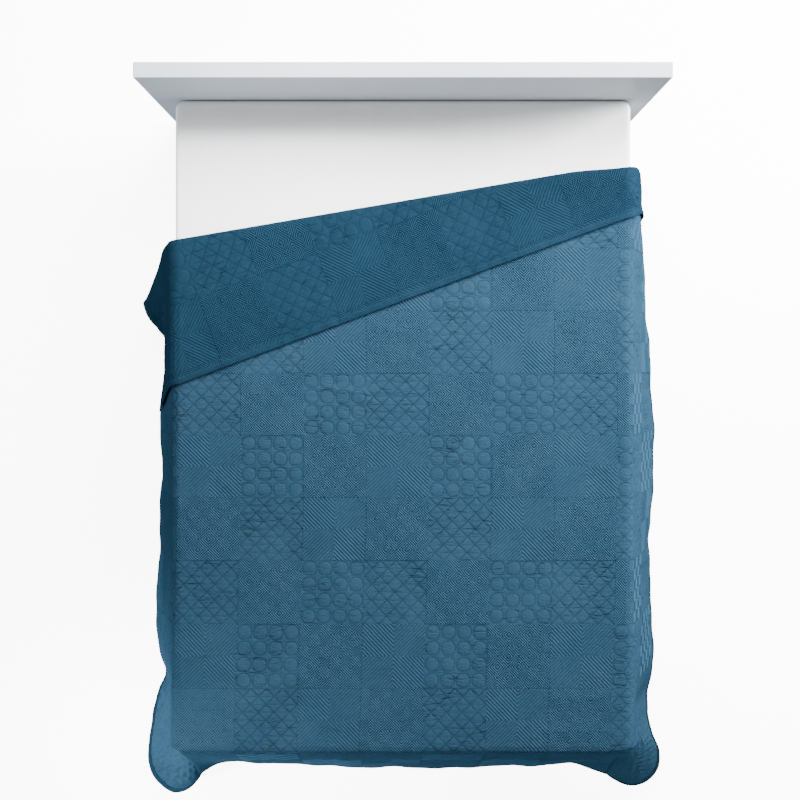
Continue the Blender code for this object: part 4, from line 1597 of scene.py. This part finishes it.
def rounded_plan(low, high, inset):
    """A rectangle with round corners, seen from above, anticlockwise."""
    radius = max(MATTRESS_PLAN_RADIUS - inset, LEAST_PLAN_RADIUS)
    inner = inset + radius
    middles = (
        (high[0] - inner, low[1] + inner),
        (high[0] - inner, high[1] - inner),
        (low[0] + inner, high[1] - inner),
        (low[0] + inner, low[1] + inner),
    )
    places = []
    for quarter, (x, y) in enumerate(middles):
        for cut in range(MATTRESS_CORNER_CUTS + 1):
            turn = math.radians(90.0 * (quarter - 1 + cut / MATTRESS_CORNER_CUTS))
            places.append((x + radius * math.cos(turn), y + radius * math.sin(turn)))
    return places


def mattress_profile(bottom, top):
    """How far in from the side each height of the mattress is, bottom to top."""
    edge = []
    for cut in range(MATTRESS_EDGE_CUTS + 1):
        turn = math.pi / 2 * cut / MATTRESS_EDGE_CUTS
        in_by = MATTRESS_EDGE_RADIUS * (1.0 - math.sin(turn))
        edge.append((in_by, bottom + MATTRESS_EDGE_RADIUS * (1.0 - math.cos(turn))))
    seams = []
    for seam in (bottom + SEAM_FROM_FACE, top - SEAM_FROM_FACE):
        for step, in_by in enumerate((0.0, SEAM_SHOULDER, SEAM_DEPTH, SEAM_SHOULDER, 0.0)):
            seams.append((in_by, seam + (step - 2) * SEAM_HALF))
    return edge + seams + [(in_by, top + bottom - height) for in_by, height in reversed(edge)]


def make_mattress():
    """The mattress, round at its edges, with a sewn line near each face."""
    low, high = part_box("mattress")
    rings = []
    for inset, height in mattress_profile(low[2], high[2]):
        rings.append([(x, y, height) for x, y in rounded_plan(low, high, inset)])
    places = np.concatenate(rings)
    count = len(rings[0])
    faces = ring_faces(len(rings), count)
    faces.append(tuple(range(count - 1, -1, -1)))
    faces.append(tuple(range(len(places) - count, len(places))))
    piece = new_piece("mattress_soft", places, faces)
    piece.data.set_sharp_from_angle(angle=MATTRESS_SHARP_ANGLE)
    return piece


# Stage, light and camera


def make_floor():
    """A plain pale floor that glows, so that it stays white under the bed's shadow."""
    bpy.ops.mesh.primitive_plane_add(size=FLOOR_SIZE)
    floor = bpy.context.active_object
    floor.name = "floor"
    nodes = Nodes("pale_floor")
    place = nodes.add("TexCoord").outputs["Object"]
    inputs = {
        "Base Color": nodes.between(nodes.noise(place, FLOOR_CLOUD), FLOOR_LOW, FLOOR_HIGH),
        "Roughness": 1.0,
        "Emission Color": (*WHITE, 1.0),
        "Emission Strength": FLOOR_GLOW,
    }
    floor.data.materials.append(nodes.surface(inputs))
    floor.visible_diffuse = False
    floor.visible_glossy = False


def add_light(name, kind, place, target, spread, watts, colour):
    """A square lamp of some width, or a soft spot with some cone."""
    data = bpy.data.lights.new(name, kind)
    if kind == "AREA":
        data.shape = "SQUARE"
        data.size = spread
    else:
        data.spot_size = math.radians(spread)
        data.spot_blend = 1.0
        data.shadow_soft_size = SPOT_SIZE
    data.energy = watts
    data.color = colour
    light = add_object(name, data)
    light.location = place
    aim = Vector(target) - Vector(place)
    light.rotation_euler = aim.to_track_quat("-Z", "Y").to_euler()


def make_lights():
    """The lamps, and a soft white world round them."""
    for row in LIGHTS:
        add_light(*row)
    world = bpy.data.worlds.new("studio")
    world.use_nodes = True
    inputs = world.node_tree.nodes["Background"].inputs
    inputs["Color"].default_value = (*WHITE, 1.0)
    inputs["Strength"].default_value = WORLD_STRENGTH
    bpy.context.scene.world = world


def make_camera():
    """The camera, straight above the bed as in the photograph."""
    data = bpy.data.cameras.new("camera")
    data.sensor_width = SENSOR
    data.lens = CAMERA_FOCAL_PIXELS / PICTURE_PIXELS * SENSOR
    data.shift_x, data.shift_y = LENS_SHIFT
    data.clip_end = VIEW_END
    camera = add_object("camera", data)
    camera.location = CAMERA_PLACE
    bpy.context.scene.camera = camera


def main():
    """Each piece with its material, then the stage."""
    face_cloth = cloth_material("teal_microfibre", FACE_LOW, FACE_HIGH, 1.0)
    back_cloth = cloth_material("teal_backing", BACK_LOW, BACK_HIGH, BACK_LINE_SHARE)
    face = make_face()
    back = make_back()
    hem = make_hem()
    stitches = make_stitches()
    dress(face, face_cloth)
    dress(back, back_cloth)
    dress(hem, back_cloth)
    dress(stitches, thread_material())
    mattress = make_mattress()
    dress(mattress, mattress_material())
    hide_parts("bedspread")
    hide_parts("mattress")
    board = board_material("grey_board")
    plain_board = board_material("frame_board")
    wood = slat_material()
    for name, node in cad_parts.items():
        if name == "headboard":
            dress(node, board)
        elif name.startswith(("slat", "ledger", "centre_beam")):
            dress(node, wood)
        elif name not in ("bedspread", "mattress"):
            dress(node, plain_board)
    make_floor()
    make_lights()
    make_camera()


main()
